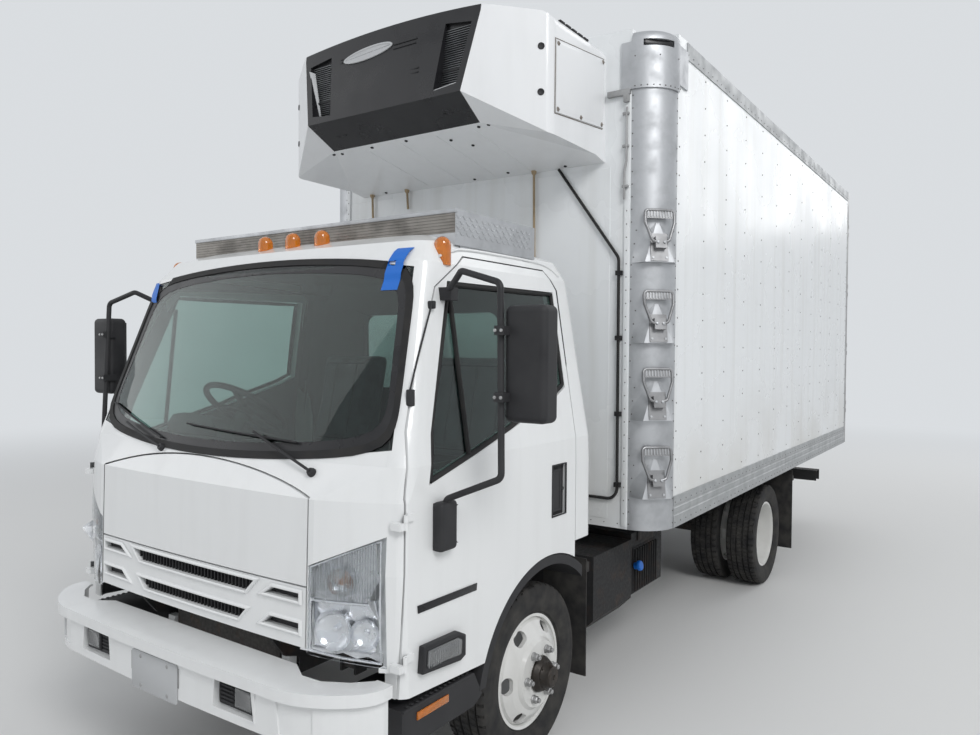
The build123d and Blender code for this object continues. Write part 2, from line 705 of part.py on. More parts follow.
def cargo_front():
    """The insulated front wall between the corner columns, with a raised panel on its face."""
    half = CARGO_HALF - CORNER_RADIUS - SEAT_GAP
    top = CARGO_TOP - TOP_RAIL_BAND - SEAT_GAP
    shape = block(-half, half, CARGO_FRONT, CARGO_FRONT + WALL, CARGO_BOTTOM, top)
    return shape


def cargo_roof():
    """The roof: a slightly crowned panel with the top rails along its edges."""
    low = CARGO_TOP - TOP_RAIL_BAND
    crown = make_face([
        Line((-CARGO_HALF, low), (CARGO_HALF, low)),
        Line((CARGO_HALF, low), (CARGO_HALF, CARGO_TOP)),
        ThreePointArc((CARGO_HALF, CARGO_TOP), (0, CARGO_TOP + ROOF_CROWN), (-CARGO_HALF, CARGO_TOP)),
        Line((-CARGO_HALF, CARGO_TOP), (-CARGO_HALF, low)),
    ])
    shape = along_y(crown, CARGO_FRONT, CARGO_REAR - REAR_FRAME_DEPTH - SEAT_GAP)
    corner = CORNER_RADIUS + SEAT_GAP
    for side in (-1, 1):
        x = side * (CARGO_HALF - corner)
        shape -= block(x, side * (CARGO_HALF + 5), CARGO_FRONT - 5, CARGO_FRONT + corner, low - 5, CARGO_TOP + 60)
    return shape


def side_rails():
    """Grooved aluminium rails along the foot of each side, and the cap rail along the top."""
    front = CARGO_FRONT + CORNER_RADIUS + SEAT_GAP
    rear = CARGO_REAR - REAR_FRAME_DEPTH - SEAT_GAP
    x = CARGO_HALF + SEAT_GAP
    profile = outline([
        (x, CARGO_BOTTOM),
        (x + RAIL_PROUD, CARGO_BOTTOM),
        (x + RAIL_PROUD, CARGO_BOTTOM + 62),
        (x + 2, CARGO_BOTTOM + 66),
        (x + 2, CARGO_BOTTOM + 76),
        (x + RAIL_PROUD, CARGO_BOTTOM + 80),
        (x + RAIL_PROUD, CARGO_BOTTOM + 104),
        (x + 2, CARGO_BOTTOM + 108),
        (x + 2, CARGO_BOTTOM + 118),
        (x + RAIL_PROUD, CARGO_BOTTOM + 122),
        (x + RAIL_PROUD, CARGO_BOTTOM + RAIL_BAND),
        (x, CARGO_BOTTOM + RAIL_BAND),
    ])
    bottom = along_y(profile, front, rear)
    cap_end = front + CAP_LAP
    top = block(x, x + RAIL_PROUD, cap_end, rear, CARGO_TOP - TOP_RAIL_BAND - 10, CARGO_TOP - 6)
    return both(together(bottom, top))


def rear_frame():
    """The steel portal round the cargo doors."""
    front = CARGO_REAR - REAR_FRAME_DEPTH
    shape = block(-CARGO_HALF, CARGO_HALF, front, CARGO_REAR, CARGO_BOTTOM, CARGO_TOP)
    half = CARGO_HALF - REAR_POST
    shape -= block(-half, half, front - 1, CARGO_REAR + 1, CARGO_BOTTOM + REAR_SILL, CARGO_TOP - REAR_HEADER)
    for side in (-1, 1):
        for z in HINGE_HEIGHTS:
            x = side * (CARGO_HALF - 16)
            for low in (z - 62, z + 22):
                shape += rod(x, CARGO_REAR + HINGE_BACK, low + 20, HINGE_RADIUS + 7, 40, "z")
                lug = block(x - 14, x + 14, CARGO_REAR - 2, CARGO_REAR + HINGE_BACK, low, low + 40)
                shape += lug
            shape += rod(x, CARGO_REAR + HINGE_BACK, z, HINGE_RADIUS, 124, "z")
    return shape


def cargo_door():
    """The left cargo door, with hinge straps that reach round the post to its pins."""
    rear = CARGO_REAR
    shape = block(DOOR_GAP / 2, DOOR_OUTER, rear - DOOR_LEAF, rear, DOOR_LOW, DOOR_HIGH)
    pin_x = CARGO_HALF - 16
    for z in HINGE_HEIGHTS:
        strap = block(DOOR_OUTER - 260, pin_x, rear + 5, rear + 13, z - 17, z + 17)
        pad = block(DOOR_OUTER - 260, DOOR_OUTER - 20, rear - 1, rear + 6, z - 17, z + 17)
        knuckle_barrel = rod(pin_x, rear + HINGE_BACK, z, HINGE_RADIUS + 7, 34, "z")
        web = block(pin_x - 16, pin_x, rear + 5, rear + HINGE_BACK, z - 17, z + 17)
        shape += strap + pad + knuckle_barrel + web
        shape -= rod(pin_x, rear + HINGE_BACK, z, HINGE_RADIUS + RUNNING_FIT, 200, "z")
    return shape


def lock_rods():
    """The left door's two lock rods with their guides and handles."""
    rear = CARGO_REAR + SEAT_GAP
    rods = []
    for x in (150, 700):
        bar = rod(x, rear + LOCK_ROD_BACK, (DOOR_LOW + DOOR_HIGH) / 2, LOCK_ROD_RADIUS, DOOR_HIGH - DOOR_LOW - 30, "z")
        for z in (DOOR_LOW + 120, 1700, 2500, DOOR_HIGH - 120):
            bar += block(x - 34, x + 34, rear, rear + LOCK_ROD_BACK, z - 22, z + 22)
        bar += block(x - 12, x + 250, rear + LOCK_ROD_BACK - 6, rear + LOCK_ROD_BACK + 6, 1420, 1452)
        rods.append(bar)
    return together(*rods)


def rear_step():
    """The step bumper under the cargo doors, on two drop brackets from the rails."""
    low = 470
    rear = CARGO_REAR + REAR_STEP_DEPTH
    half = REAR_STEP_HALF
    shape = block(-half, half, rear - 150, rear, low, low + 110)
    shape -= block(-half - 1, half + 1, rear - 142, rear - 8, low - 1, low + 102)
    for x in TAIL_LAMPS:
        for side in (-1, 1):
            shape -= rod(side * x, rear, TAIL_LAMP_Z, TAIL_LAMP_RADIUS + SEAT_GAP, 40, "y")
    for side in (-1, 1):
        leg = outline([
            (CARGO_REAR - RAIL_REAR_INSET - 260, RAIL_BOTTOM + 20),
            (CARGO_REAR - RAIL_REAR_INSET - 260, RAIL_TOP - 20),
            (CARGO_REAR - 30, RAIL_TOP - 20),
            (rear - 20, low + 105),
            (rear - 20, low + 10),
            (rear - 140, low + 10),
        ])
        shape += along_x(leg, *sorted((side * (RAIL_HALF + SEAT_GAP), side * (RAIL_HALF + 10))))
    return shape


def mud_flaps():
    """Rubber flaps behind the front and rear wheels, with the rear ones on a bar."""
    front = block(700, 950, 480, 488, 210, 810)
    front += block(RAIL_HALF + SEAT_GAP, 950, 488, 513, 740, 790)
    rear_y = WHEELBASE + 520
    rear = block(600, 1150, rear_y, rear_y + 10, 180, 850)
    rear += block(RAIL_HALF + SEAT_GAP, 1150, rear_y + 10, rear_y + 50, 760, 800)
    return both(together(front, rear))


def tail_lamps():
    """Round lamps let into the ends of the rear step."""
    rear = CARGO_REAR + REAR_STEP_DEPTH
    lamps = [rod(x, rear - 12, TAIL_LAMP_Z, TAIL_LAMP_RADIUS, 24, "y") for x in TAIL_LAMPS]
    return both(together(*lamps))


# Tanks


def side_tanks():
    """The fuel tank on the right rail, and the fluid tank and battery box on the left."""
    x0 = RAIL_HALF + SEAT_GAP
    battery = block(x0, 880, 1180, 1640, 430, 790)
    fluid = along_y(outline([(x0, 360), (830, 360), (900, 430), (900, 770), (x0, 770)]), 660, 1140)
    fuel = rod(-(x0 + TANK_RADIUS), 1650, 560, TANK_RADIUS, 1150, "y")
    for y in (1250, 2050):
        fuel += block(-(x0 + TANK_RADIUS), -x0, y - 30, y + 30, 590, 640)
    return together(battery, fluid, fuel)


# Refrigeration unit


def below(one, two, three):
    """All the room under the plane through three points."""
    up = (Vector(*two) - Vector(*one)).cross(Vector(*three) - Vector(*one))
    plane = Plane(origin=one, z_dir=up if up.Z > 0 else -up)
    return plane * Pos(0, 0, -2000) * Box(8000, 8000, 4000)


def mirrored(point):
    return (-point[0], point[1], point[2])


def unit_body():
    """The outer form of the unit: its plan, leaning front and crowned top, cut by the facets of its underside."""
    wide = UNIT_HALF
    back = CARGO_FRONT - SEAT_GAP
    corner = (UNIT_CHIN_HALF, UNIT_FRONT)
    bend = (wide - 23, UNIT_FLANK_Y - 25)
    bend_middle = (wide - 6, UNIT_FLANK_Y)
    flank = (wide, UNIT_FLANK_Y + 30)
    left = [Line(corner, bend), ThreePointArc(bend, bend_middle, flank), Line(flank, (wide, back))]
    right = [other_way(edge) for edge in left]
    nose_edge = Line((-UNIT_CHIN_HALF, UNIT_FRONT), corner)
    plan = make_face([nose_edge, *left, Line((wide, back), (-wide, back)), *reversed(right)])
    side = outline([
        (UNIT_FRONT + UNIT_LEAN * 1.5, UNIT_FACE_BOTTOM + (UNIT_TOP - UNIT_FACE_BOTTOM) * 1.5),
        (UNIT_FRONT, UNIT_FACE_BOTTOM),
        (UNIT_FRONT, UNIT_BOTTOM - 100),
        (back, UNIT_BOTTOM - 100),
        (back, UNIT_FACE_BOTTOM + (UNIT_TOP - UNIT_FACE_BOTTOM) * 1.5),
    ])
    top = UNIT_TOP
    low = UNIT_BOTTOM - 100
    front = make_face([
        Line((-wide, low), (wide, low)),
        Line((wide, low), (wide, top - 60)),
        ThreePointArc((wide, top - 60), (wide - 18, top - 18), (wide - 60, top)),
        ThreePointArc((wide - 60, top), (0, top + UNIT_CROWN), (-wide + 60, top)),
        ThreePointArc((-wide + 60, top), (-wide + 18, top - 18), (-wide, top - 60)),
        Line((-wide, top - 60), (-wide, low)),
    ])
    shape = along_z(plan, low, UNIT_TOP + 200)
    shape &= along_x(side, -wide - 50, wide + 50)
    shape &= along_y(front, UNIT_FRONT - 50, back)
    chin = (UNIT_SEAM_HALF, UNIT_CHIN_Y, UNIT_CHIN_Z)
    face_corner = (UNIT_CHIN_HALF, UNIT_FRONT, UNIT_FACE_BOTTOM)
    knee = (wide, UNIT_FLANK_Y - 15, UNIT_SIDE_Z)
    tail = (wide, CARGO_FRONT, UNIT_SIDE_Z - 5)
    under_chin = below(face_corner, mirrored(face_corner), chin)
    under_chin &= below(chin, face_corner, knee)
    under_chin &= below(mirrored(chin), mirrored(face_corner), mirrored(knee))
    under_belly = below(chin, mirrored(chin), (0, CARGO_FRONT, UNIT_BOTTOM))
    under_belly &= below(chin, knee, tail)
    under_belly &= below(mirrored(chin), mirrored(knee), mirrored(tail))
    return shape - under_chin - under_belly


def unit_face_zone(gap):
    """The part of the unit that its black front takes up, drawn in by a gap."""
    zone = outline([
        (UNIT_FRONT - 60, UNIT_TOP + 200),
        (UNIT_FRONT - 60, UNIT_CHIN_Z - 40),
        (UNIT_CHIN_Y - gap, UNIT_CHIN_Z - 40),
        (UNIT_CHIN_Y - gap, UNIT_CHIN_Z + 40),
        (UNIT_FRONT + UNIT_FACE_DEPTH - gap, UNIT_FACE_BOTTOM + 20),
        (UNIT_FRONT + UNIT_FACE_DEPTH + UNIT_LEAN - gap, UNIT_TOP + 200),
    ])
    top = UNIT_FACE_HALF - gap
    middle = UNIT_CHIN_HALF - gap
    bottom = UNIT_SEAM_HALF - gap
    front = outline([
        (-top, UNIT_TOP + 200),
        (-top, UNIT_TOP),
        (-middle, UNIT_FACE_BOTTOM),
        (-bottom, UNIT_CHIN_Z - 40),
        (bottom, UNIT_CHIN_Z - 40),
        (middle, UNIT_FACE_BOTTOM),
        (top, UNIT_TOP),
        (top, UNIT_TOP + 200),
    ])
    return along_x(zone, -UNIT_HALF, UNIT_HALF) & along_y(front, UNIT_FRONT - 100, CARGO_FRONT)


def unit_shell():
    return unit_body() - unit_face_zone(0)


def unit_face():
    """The black front with its two deep side vents."""
    shape = unit_body() & unit_face_zone(SEAT_GAP)
    for side in (-1, 1):
        vent = outline([
            (side * 395, UNIT_TOP - 20),
            (side * 555, UNIT_TOP - 45),
            (side * 495, UNIT_FACE_BOTTOM + 45),
            (side * 355, UNIT_FACE_BOTTOM + 30),
        ])
        shape -= along_y(vent, UNIT_FRONT - 50, UNIT_FRONT + UNIT_FACE_DEPTH)
    return shape


def unit_hose():
    """The unit's hose, clipped down the front wall and across behind the cab to the left frame rail."""
    y = CARGO_FRONT - HOSE_OFF
    path = FilletPolyline(
        (610, y, 2866),
        (979, y, 2355),
        (983, y, 1072),
        (HOSE_FOOT_X, y, 1072),
        (HOSE_FOOT_X, y, RAIL_TOP + 0.5),
        radius=HOSE_BEND,
    )
    hose = sweep(Plane(origin=path @ 0, z_dir=path % 0) * Circle(HOSE_RADIUS), path=path)
    for x, z in HOSE_CLIPS:
        hose += block(x - 16, x + 16, y - HOSE_RADIUS - 2, CARGO_FRONT - SEAT_GAP, z - 12, z + 12)
    return hose


def evaporator():
    """The cold-air unit under the ceiling behind the front wall."""
    back = CARGO_FRONT + WALL + SEAT_GAP
    profile = outline([
        (back, CEILING - 12),
        (back, CEILING - 260),
        (back + 380, CEILING - 260),
        (back + 560, CEILING - 120),
        (back + 560, CEILING - 12),
    ])
    return along_x(profile, -620, 620)


# Cab


def swept(start, end, swell):
    """Three points of an arc between two points, bulging to the right of the way by a share of its length."""
    way = end - start
    return start, (start + end) / 2 + Vector(way.Y, -way.X) * swell, end


def other_way(edge):
    """An edge's twin across the truck's middle, run the opposite way."""
    start, middle, end = (Vector(-(edge @ t).X, (edge @ t).Y) for t in (1, 0.5, 0))
    if edge.geom_type == GeomType.LINE:
        return Line(start, end)
    return ThreePointArc(start, middle, end)


def cab_section(level, side, nose, back, z):
    """One flat outline of the cab, drawn in by wall depths at its sides, nose and back."""
    _, front, bow, half, width, depth, knee_in, knee_back, swell, rear, rear_corner = level
    flank = half - side
    back_y = rear - back
    start = Vector(flank - width, front + nose + bow)
    knee = Vector(flank - knee_in, start.Y + knee_back)
    end = Vector(flank, start.Y + depth)
    cheek = swept(start, knee, swell)
    turn = swept(knee, end, 0.1)
    rear_knee = Vector(flank - rear_corner * 0.2929, back_y - rear_corner * 0.2929)
    left = [
        ThreePointArc(*cheek),
        ThreePointArc(*turn),
        Line(end, (flank, back_y - rear_corner)),
        ThreePointArc((flank, back_y - rear_corner), rear_knee, (flank - rear_corner, back_y)),
    ]
    right = [other_way(edge) for edge in left]
    nose_edge = ThreePointArc((-start.X, start.Y), (0, front + nose), start)
    tail_edge = Line((flank - rear_corner, back_y), (-flank + rear_corner, back_y))
    return Pos(0, 0, z) * make_face([nose_edge, *left, tail_edge, *reversed(right)])


def cab_form(side=0, nose=0, pillar=None, back=0, roof=0):
    """The cab's outer form, or one drawn in from it. The nose depth holds below the belt, the pillar depth above."""
    pillar = nose if pillar is None else pillar
    sections = []
    for number, level in enumerate(CAB_LEVELS):
        depth = nose if number < 3 else pillar
        low = level[0] - (10 if side and number == 0 else 0)
        sections.append(cab_section(level, side, depth, back, low - (roof if number > 3 else 0)))
    return loft(sections, ruled=True)


def door_points(grow):
    """The left door's outline in (y, z), grown by a seam: front edge up the pillar, roof edge, rear edge, wheel arch."""
    return [
        (DOOR_FRONT - grow, CORNER_BOTTOM + 10),
        (-978 - grow, 1000),
        (-969 - grow, 1344),
        (-919 - grow, 1573),
        (-842 - grow, 1785),
        (-690 - grow, 2100 + grow * 0.4),
        (-470 - grow * 0.4, 2236 + grow),
        (160, 2236 + grow),
        (238 + grow * 2, 2150),
        (245 + grow, 1450),
    ]


def door_face(grow):
    """The door's outline closed along the wheel arch, or straight down when it is the opening in the cab."""
    points = door_points(grow)
    rear = 245 + grow
    if grow:
        return outline([(DOOR_FRONT - grow, 560), *points, (rear, 560)])
    arch_front = -(ARCH_RADIUS**2 - (CORNER_BOTTOM - 20 - AXLE_Z) ** 2) ** 0.5
    arch_rear_z = AXLE_Z + (ARCH_RADIUS**2 - rear**2) ** 0.5
    edges = [Line(points[i], points[i + 1]) for i in range(len(points) - 1)]
    edges.append(Line(points[-1], (rear, arch_rear_z)))
    edges.append(ThreePointArc((rear, arch_rear_z), (-ARCH_RADIUS * 0.4, AXLE_Z + ARCH_RADIUS * 0.9165), (arch_front, CORNER_BOTTOM - 20)))
    edges.append(Line((arch_front, CORNER_BOTTOM - 20), points[0]))
    return make_face(edges)


def window_face(grow):
    """The door window's outline in (y, z)."""
    return outline([
        (-850 - grow, 1378 - grow),
        (-820 - grow, 1560),
        (-612 - grow * 0.7, 2130 + grow),
        (205 + grow, 2138 + grow),
        (205 + grow, 1690 - grow),
        (120 + grow, 1652 - grow),
        (-297, 1530 - grow),
    ])


def lid_face(grow):
    """The front lid's outline in (x, z), arched along its top."""
    half = LID_HALF + grow
    low = LID_BOTTOM - grow
    return make_face([
        Line((-half, low), (half, low)),
        Line((half, low), (half, 1330 + grow)),
        ThreePointArc((half, 1330 + grow), (0, 1424 + grow), (-half, 1330 + grow)),
        Line((-half, 1330 + grow), (-half, low)),
    ])


def windshield_face(grow):
    """The windshield's outline in (x, z)."""
    return make_face([
        ThreePointArc((-932 - grow, 1508 - grow), (0, 1442 - grow), (932 + grow, 1508 - grow)),
        Line((932 + grow, 1508 - grow), (840 + grow, 2178 + grow)),
        ThreePointArc((840 + grow, 2178 + grow), (0, 2232 + grow), (-840 - grow, 2178 + grow)),
        Line((-840 - grow, 2178 + grow), (-932 - grow, 1508 - grow)),
    ])


def lamp_face(grow):
    """The left headlamp's outline in (x, z), its top rising outwards."""
    return outline([
        (LAMP_INNER - grow, 785 - grow),
        (LAMP_OUTER + grow, 757 - grow),
        (LAMP_OUTER + grow, 1216 + grow),
        (LAMP_INNER - grow, 1095 + grow),
    ])


def rear_window_face(grow):
    return outline([
        (-480 - grow, 1640 - grow),
        (480 + grow, 1640 - grow),
        (480 + grow, 2060 + grow),
        (-480 - grow, 2060 + grow),
    ], 60)


def cab_shell():
    """The cab's white body: nose, pillars, roof and back, with every opening cut."""
    outer = cab_form()
    inner = cab_form(CAB_SIDE_WALL, CAB_NOSE_WALL, CAB_PILLAR_WALL, CAB_BACK_WALL, CAB_ROOF_WALL)
    shape = outer - inner
    opening = along_x(door_face(SEAM), DOOR_LIMIT_X, 1100)
    shape -= opening
    shape -= other_side(opening)
    shape -= along_y(windshield_face(SEAT_GAP), -1300, -300)
    shape -= along_y(rear_window_face(SEAT_GAP), 250, 500)
    recess = along_y(lid_face(SEAM), -1300, -900) - cab_form(0, LID_DEPTH + SEAM)
    pads = [block(x - 25, x + 25, -1300, -900, z - 20, z + 20) for x, z in LID_PADS]
    shape -= recess - (Compound(pads) & cab_form(0, LID_DEPTH + SEAT_GAP))
    nose = block(-LID_HALF - SEAM, LID_HALF + SEAM, -1300, -900, 600, LID_BOTTOM - SEAM + SEAT_GAP)
    shape -= nose - cab_form(0, LID_DEPTH + SEAT_GAP)
    lamp = along_y(lamp_face(SEAT_GAP), -1300, LAMP_BACK + SEAT_GAP)
    lamp = lamp - cab_form(0, LAMP_DEPTH + SEAT_GAP)
    shape -= lamp
    shape -= other_side(lamp)
    shape -= block(-400, 400, -1300, -900, 835, 1000)
    shape -= block(-930, 930, -1300, 300, 500, FACE_BOTTOM)
    shape -= block(-1100, 1100, 200, 600, 500, FLANK_BOTTOM)
    shape -= block(-1100, 1100, -1300, DOOR_FRONT - SEAM, 500, NOSE_CORNER_BOTTOM)
    for side in (-1, 1):
        shape -= block(side * 400, side * 512, -1084, -990, 600, CAB_FLOOR_BOTTOM + 40)
    for z in DOOR_HINGES:
        hinge = hinge_leaf(-1, z) + rod(DOOR_HINGE_X, DOOR_HINGE_Y, z, DOOR_PIN_RADIUS, 50, "z")
        shape += hinge
        shape += other_side(hinge)
    return shape


def cab_glass():
    """Windshield and rear window, following the cab's skin."""
    pane = cab_form(0, GLASS_INSET) - cab_form(0, GLASS_INSET + GLASS)
    windshield = pane & along_y(windshield_face(0), -1300, -300)
    rear = block(-700, 700, 385, 391, 1500, 2200) & along_y(rear_window_face(0), 300, 500)
    return together(windshield, rear)


def cab_floor():
    """The floor pan: footwells, the raised deck over the engine and the pivot lugs."""
    nose = -1140 + CAB_NOSE_WALL + SEAT_GAP + 14
    back = 415 - CAB_BACK_WALL - SEAT_GAP
    side = 1010 - DOOR_THICKNESS - SEAM - 4
    sheet = CAB_FLOOR_SHEET
    low = CAB_FLOOR_BOTTOM
    seat_front = -450
    shape = block(-side, side, seat_front, back, low, DECK_TOP)
    shape += block(-TUNNEL_HALF, TUNNEL_HALF, nose, seat_front, low, DECK_TOP)
    shape -= block(-side + sheet, side - sheet, seat_front + sheet, back + 1, low - 1, DECK_TOP - sheet)
    inner = TUNNEL_HALF - sheet
    shape -= block(-inner, inner, nose - 1, seat_front + sheet, low - 1, DECK_TOP - sheet)
    for edge in (-1, 1):
        shape += block(edge * inner, edge * side, nose, seat_front + sheet, low, low + sheet)
    depth = CAB_NOSE_WALL + SEAT_GAP
    shape &= cab_form(CAB_SIDE_WALL + SEAT_GAP, depth, depth, CAB_BACK_WALL + SEAT_GAP)
    for edge in (-1, 1):
        lug = block(edge * 449, edge * 489, CAB_PIVOT_Y - 36, CAB_PIVOT_Y + 60, CAB_PIVOT_Z - 20, low + 1)
        lug += block(edge * 449, edge * 489, nose, CAB_PIVOT_Y + 60, low - 20, low + 1)
        lug += rod(edge * 469, CAB_PIVOT_Y, CAB_PIVOT_Z, 36, 40, "x")
        shape += lug
        shape -= rod(edge * 469, CAB_PIVOT_Y, CAB_PIVOT_Z, PIVOT_RADIUS + RUNNING_FIT, 80, "x")
        shape -= rod(edge * 850, 0, AXLE_Z, ARCH_RADIUS - SEAM + SEAT_GAP, 500, "x")
    return shape


def cab_fenders():
    """Black wheel-arch lips and entry steps under the doors, one pair a side."""
    outer = ARCH_RADIUS - SEAM
    ring = rod(870, 0, AXLE_Z, outer, 270, "x") - rod(870, 0, AXLE_Z, outer - ARCH_LIP, 280, "x")
    ring &= block(700, 1020, -560, 330, AXLE_Z + 120, AXLE_Z + 700)
    step = along_x(outline([
        (-985, 470),
        (-985, CORNER_BOTTOM - 30),
        (-560, CORNER_BOTTOM - 30 - 10),
        (-505, 500),
        (-560, 470),
    ]), 700, 1004)
    return both(ring + step)


def lid():
    """The front lid, a curved panel hinged along its top."""
    skin = cab_form() - cab_form(0, LID_DEPTH)
    return skin & along_y(lid_face(0), -1300, -900)


def grille():
    """The white grille frame: bars round two long openings and four small ones."""
    skin = cab_form() - cab_form(0, LID_DEPTH)
    half = LID_HALF - SEAT_GAP
    shape = skin & block(-half, half, -1300, -900, FACE_BOTTOM, LID_BOTTOM - SEAM)
    openings = [
        [(-402, 998), (-352, 950), (352, 950), (402, 998)],
        [(-356, 882), (-312, 838), (312, 838), (356, 882)],
        [(455, 962), (500, 992), (640, 992), (640, 962)],
        [(445, 850), (490, 885), (640, 885), (640, 850)],
    ]
    for points in openings:
        hole = along_y(outline(points), -1300, -900)
        shape -= hole
        if points[0][0] > 0:
            shape -= other_side(hole)
    return shape


def headlamps():
    lamp = cab_form() - cab_form(0, LAMP_DEPTH)
    lamp &= along_y(lamp_face(0), -1300, LAMP_BACK)
    return both(lamp)


def roof_tray():
    """The low aluminium deflector on the cab's roof, open at its rear."""
    sheet = 6
    outer = block(-860, 860, -510, 100, 2285, 2432)
    shape = outer - block(-860 + sheet, 860 - sheet, -510 + sheet, 101, 2280, 2440)
    for side in (-1, 1):
        for y in (-440, 30):
            shape += block(side * (860 - sheet + 1), side * 790, y - 30, y + 30, 2200, 2340)
    return shape - Pos(0, 0, SEAT_GAP) * cab_form()


def marker_lamps():
    """Five amber lamps across the roof's front edge."""
    roof = Pos(0, 0, SEAT_GAP) * cab_form()
    lamps = []
    for x, z in MARKER_LAMPS:
        lamp = rod(x, -600, z - 40, 34, 80, "z") + Pos(x, -600, z) * Sphere(34)
        lamps.append(lamp - roof)
    return together(*lamps)


def dash():
    """The dashboard across the cab, with the steering column."""
    inner = cab_form(CAB_SIDE_WALL + 12, CAB_NOSE_WALL + 1, CAB_PILLAR_WALL + 8)
    profile = outline([(-1100, 1180), (-1100, 1418), (-820, 1430), (-740, 1370), (-770, 1200)])
    shape = along_x(profile, -930, 930) & inner
    length = STEERING_COLUMN - STEERING_HUB_LOW - SEAT_GAP
    shape += steering_place(-STEERING_COLUMN) * Pos(0, 0, length / 2) * Cylinder(32, length)
    return shape


def steering_place(out):
    """The steering wheel's axis: a place on it, some way out from the wheel's centre."""
    plane = Plane(origin=(STEERING_X, STEERING_Y, STEERING_Z), z_dir=(0, 0.6, 0.8))
    return plane.location * Pos(0, 0, out)


def steering_wheel():
    """Rim, three spokes and hub, square to the column."""
    wheel = Torus(210, 15) + Pos(0, 0, 20 - STEERING_HUB_LOW) * Cylinder(48, 40)
    for angle in (90, 210, 330):
        wheel += Rot(0, 0, angle) * block(0, 205, -16, 16, -8, 8)
    return steering_place(0) * wheel


def seats():
    """The driver's seat and the double passenger seat."""
    made = []
    for x0, x1 in ((-680, -180), (20, 800)):
        cushion = block(x0, x1, -420, 90, DECK_TOP + SEAT_GAP, DECK_TOP + 150)
        back = along_x(outline([(60, DECK_TOP + 120), (190, DECK_TOP + 100), (300, 1850), (200, 1860)]), x0, x1)
        made.append(cushion + back)
    return together(*made)


def door():
    """The left door without its glass, cut from the cab's own skin."""
    skin = cab_form() - cab_form(DOOR_THICKNESS, 0)
    shape = skin & along_x(door_face(0), DOOR_LIMIT_X, 1100)
    shape -= along_x(window_face(SEAT_GAP), DOOR_LIMIT_X, 1100)
    shape -= block(990, 1100, 22, 156, 1105, 1345)
    for z in DOOR_HINGES:
        shape += hinge_leaf(1, z)
        shape -= rod(DOOR_HINGE_X, DOOR_HINGE_Y, z, DOOR_PIN_RADIUS + RUNNING_FIT, 80, "z")
    return shape


def hinge_leaf(side, z):
    """Half of a door hinge: its leaf on the skin and its barrel, on the door's side or the cab's."""
    low = z + (SEAT_GAP if side > 0 else -26)
    high = z + (26 if side > 0 else -SEAT_GAP)
    start = DOOR_HINGE_Y + (22 if side > 0 else -6)
    end = start + side * 24
    seat = 1008 if side > 0 else 975
    pad = block(seat, DOOR_HINGE_X - 5, start, end, low, high)
    web = block(DOOR_HINGE_X - 9, DOOR_HINGE_X, DOOR_HINGE_Y, end, low, high)
    return pad + web + rod(DOOR_HINGE_X, DOOR_HINGE_Y, (low + high) / 2, 9, high - low, "z")


def door_glass():
    pane = cab_form(GLASS_INSET + 8, 0) - cab_form(GLASS_INSET + 8 + GLASS, 0)
    return pane & along_x(window_face(0), DOOR_LIMIT_X, 1100)


def mirror_set():
    """The left mirror: its bent arm, the bracket at each end and the head behind the arm."""
    arm = tube([
        (930, -650, 2080),
        (1060, -735, 2150),
        (1252, -765, 2096),
        (1275, -785, 1420),
        (1045, -790, 1325),
        (1016, -790, 1270),
    ], 12, 30)
    lower = block(1011, 1046, -830, -740, 1140, 1310)
    skin = Pos(SEAT_GAP, 0, 0) * cab_form()
    upper = block(880, 965, -672, -628, 2050, 2100) - skin
    head = block(1262, 1430, -760, -660, 1612, 2018)
    head = fillet(head.edges(), 24)
    for z in (1700, 1930):
        head += block(1250, 1290, -800, -730, z - 16, z + 16)
    arm -= skin
    return arm + lower + upper + head


# Every node by its name
LEFT_FRONT = Pos(FRONT_TRACK_HALF, 0, AXLE_Z)
REAR_AXIS = Pos(0, WHEELBASE, AXLE_Z)
TWIN_TYRES = together(Pos(REAR_INNER_X, 0, 0) * tyre(), Pos(REAR_OUTER_X, 0, 0) * tyre())
LEFT_DOOR = door()
LEFT_GLASS = door_glass()
LEFT_MIRROR = mirror_set()

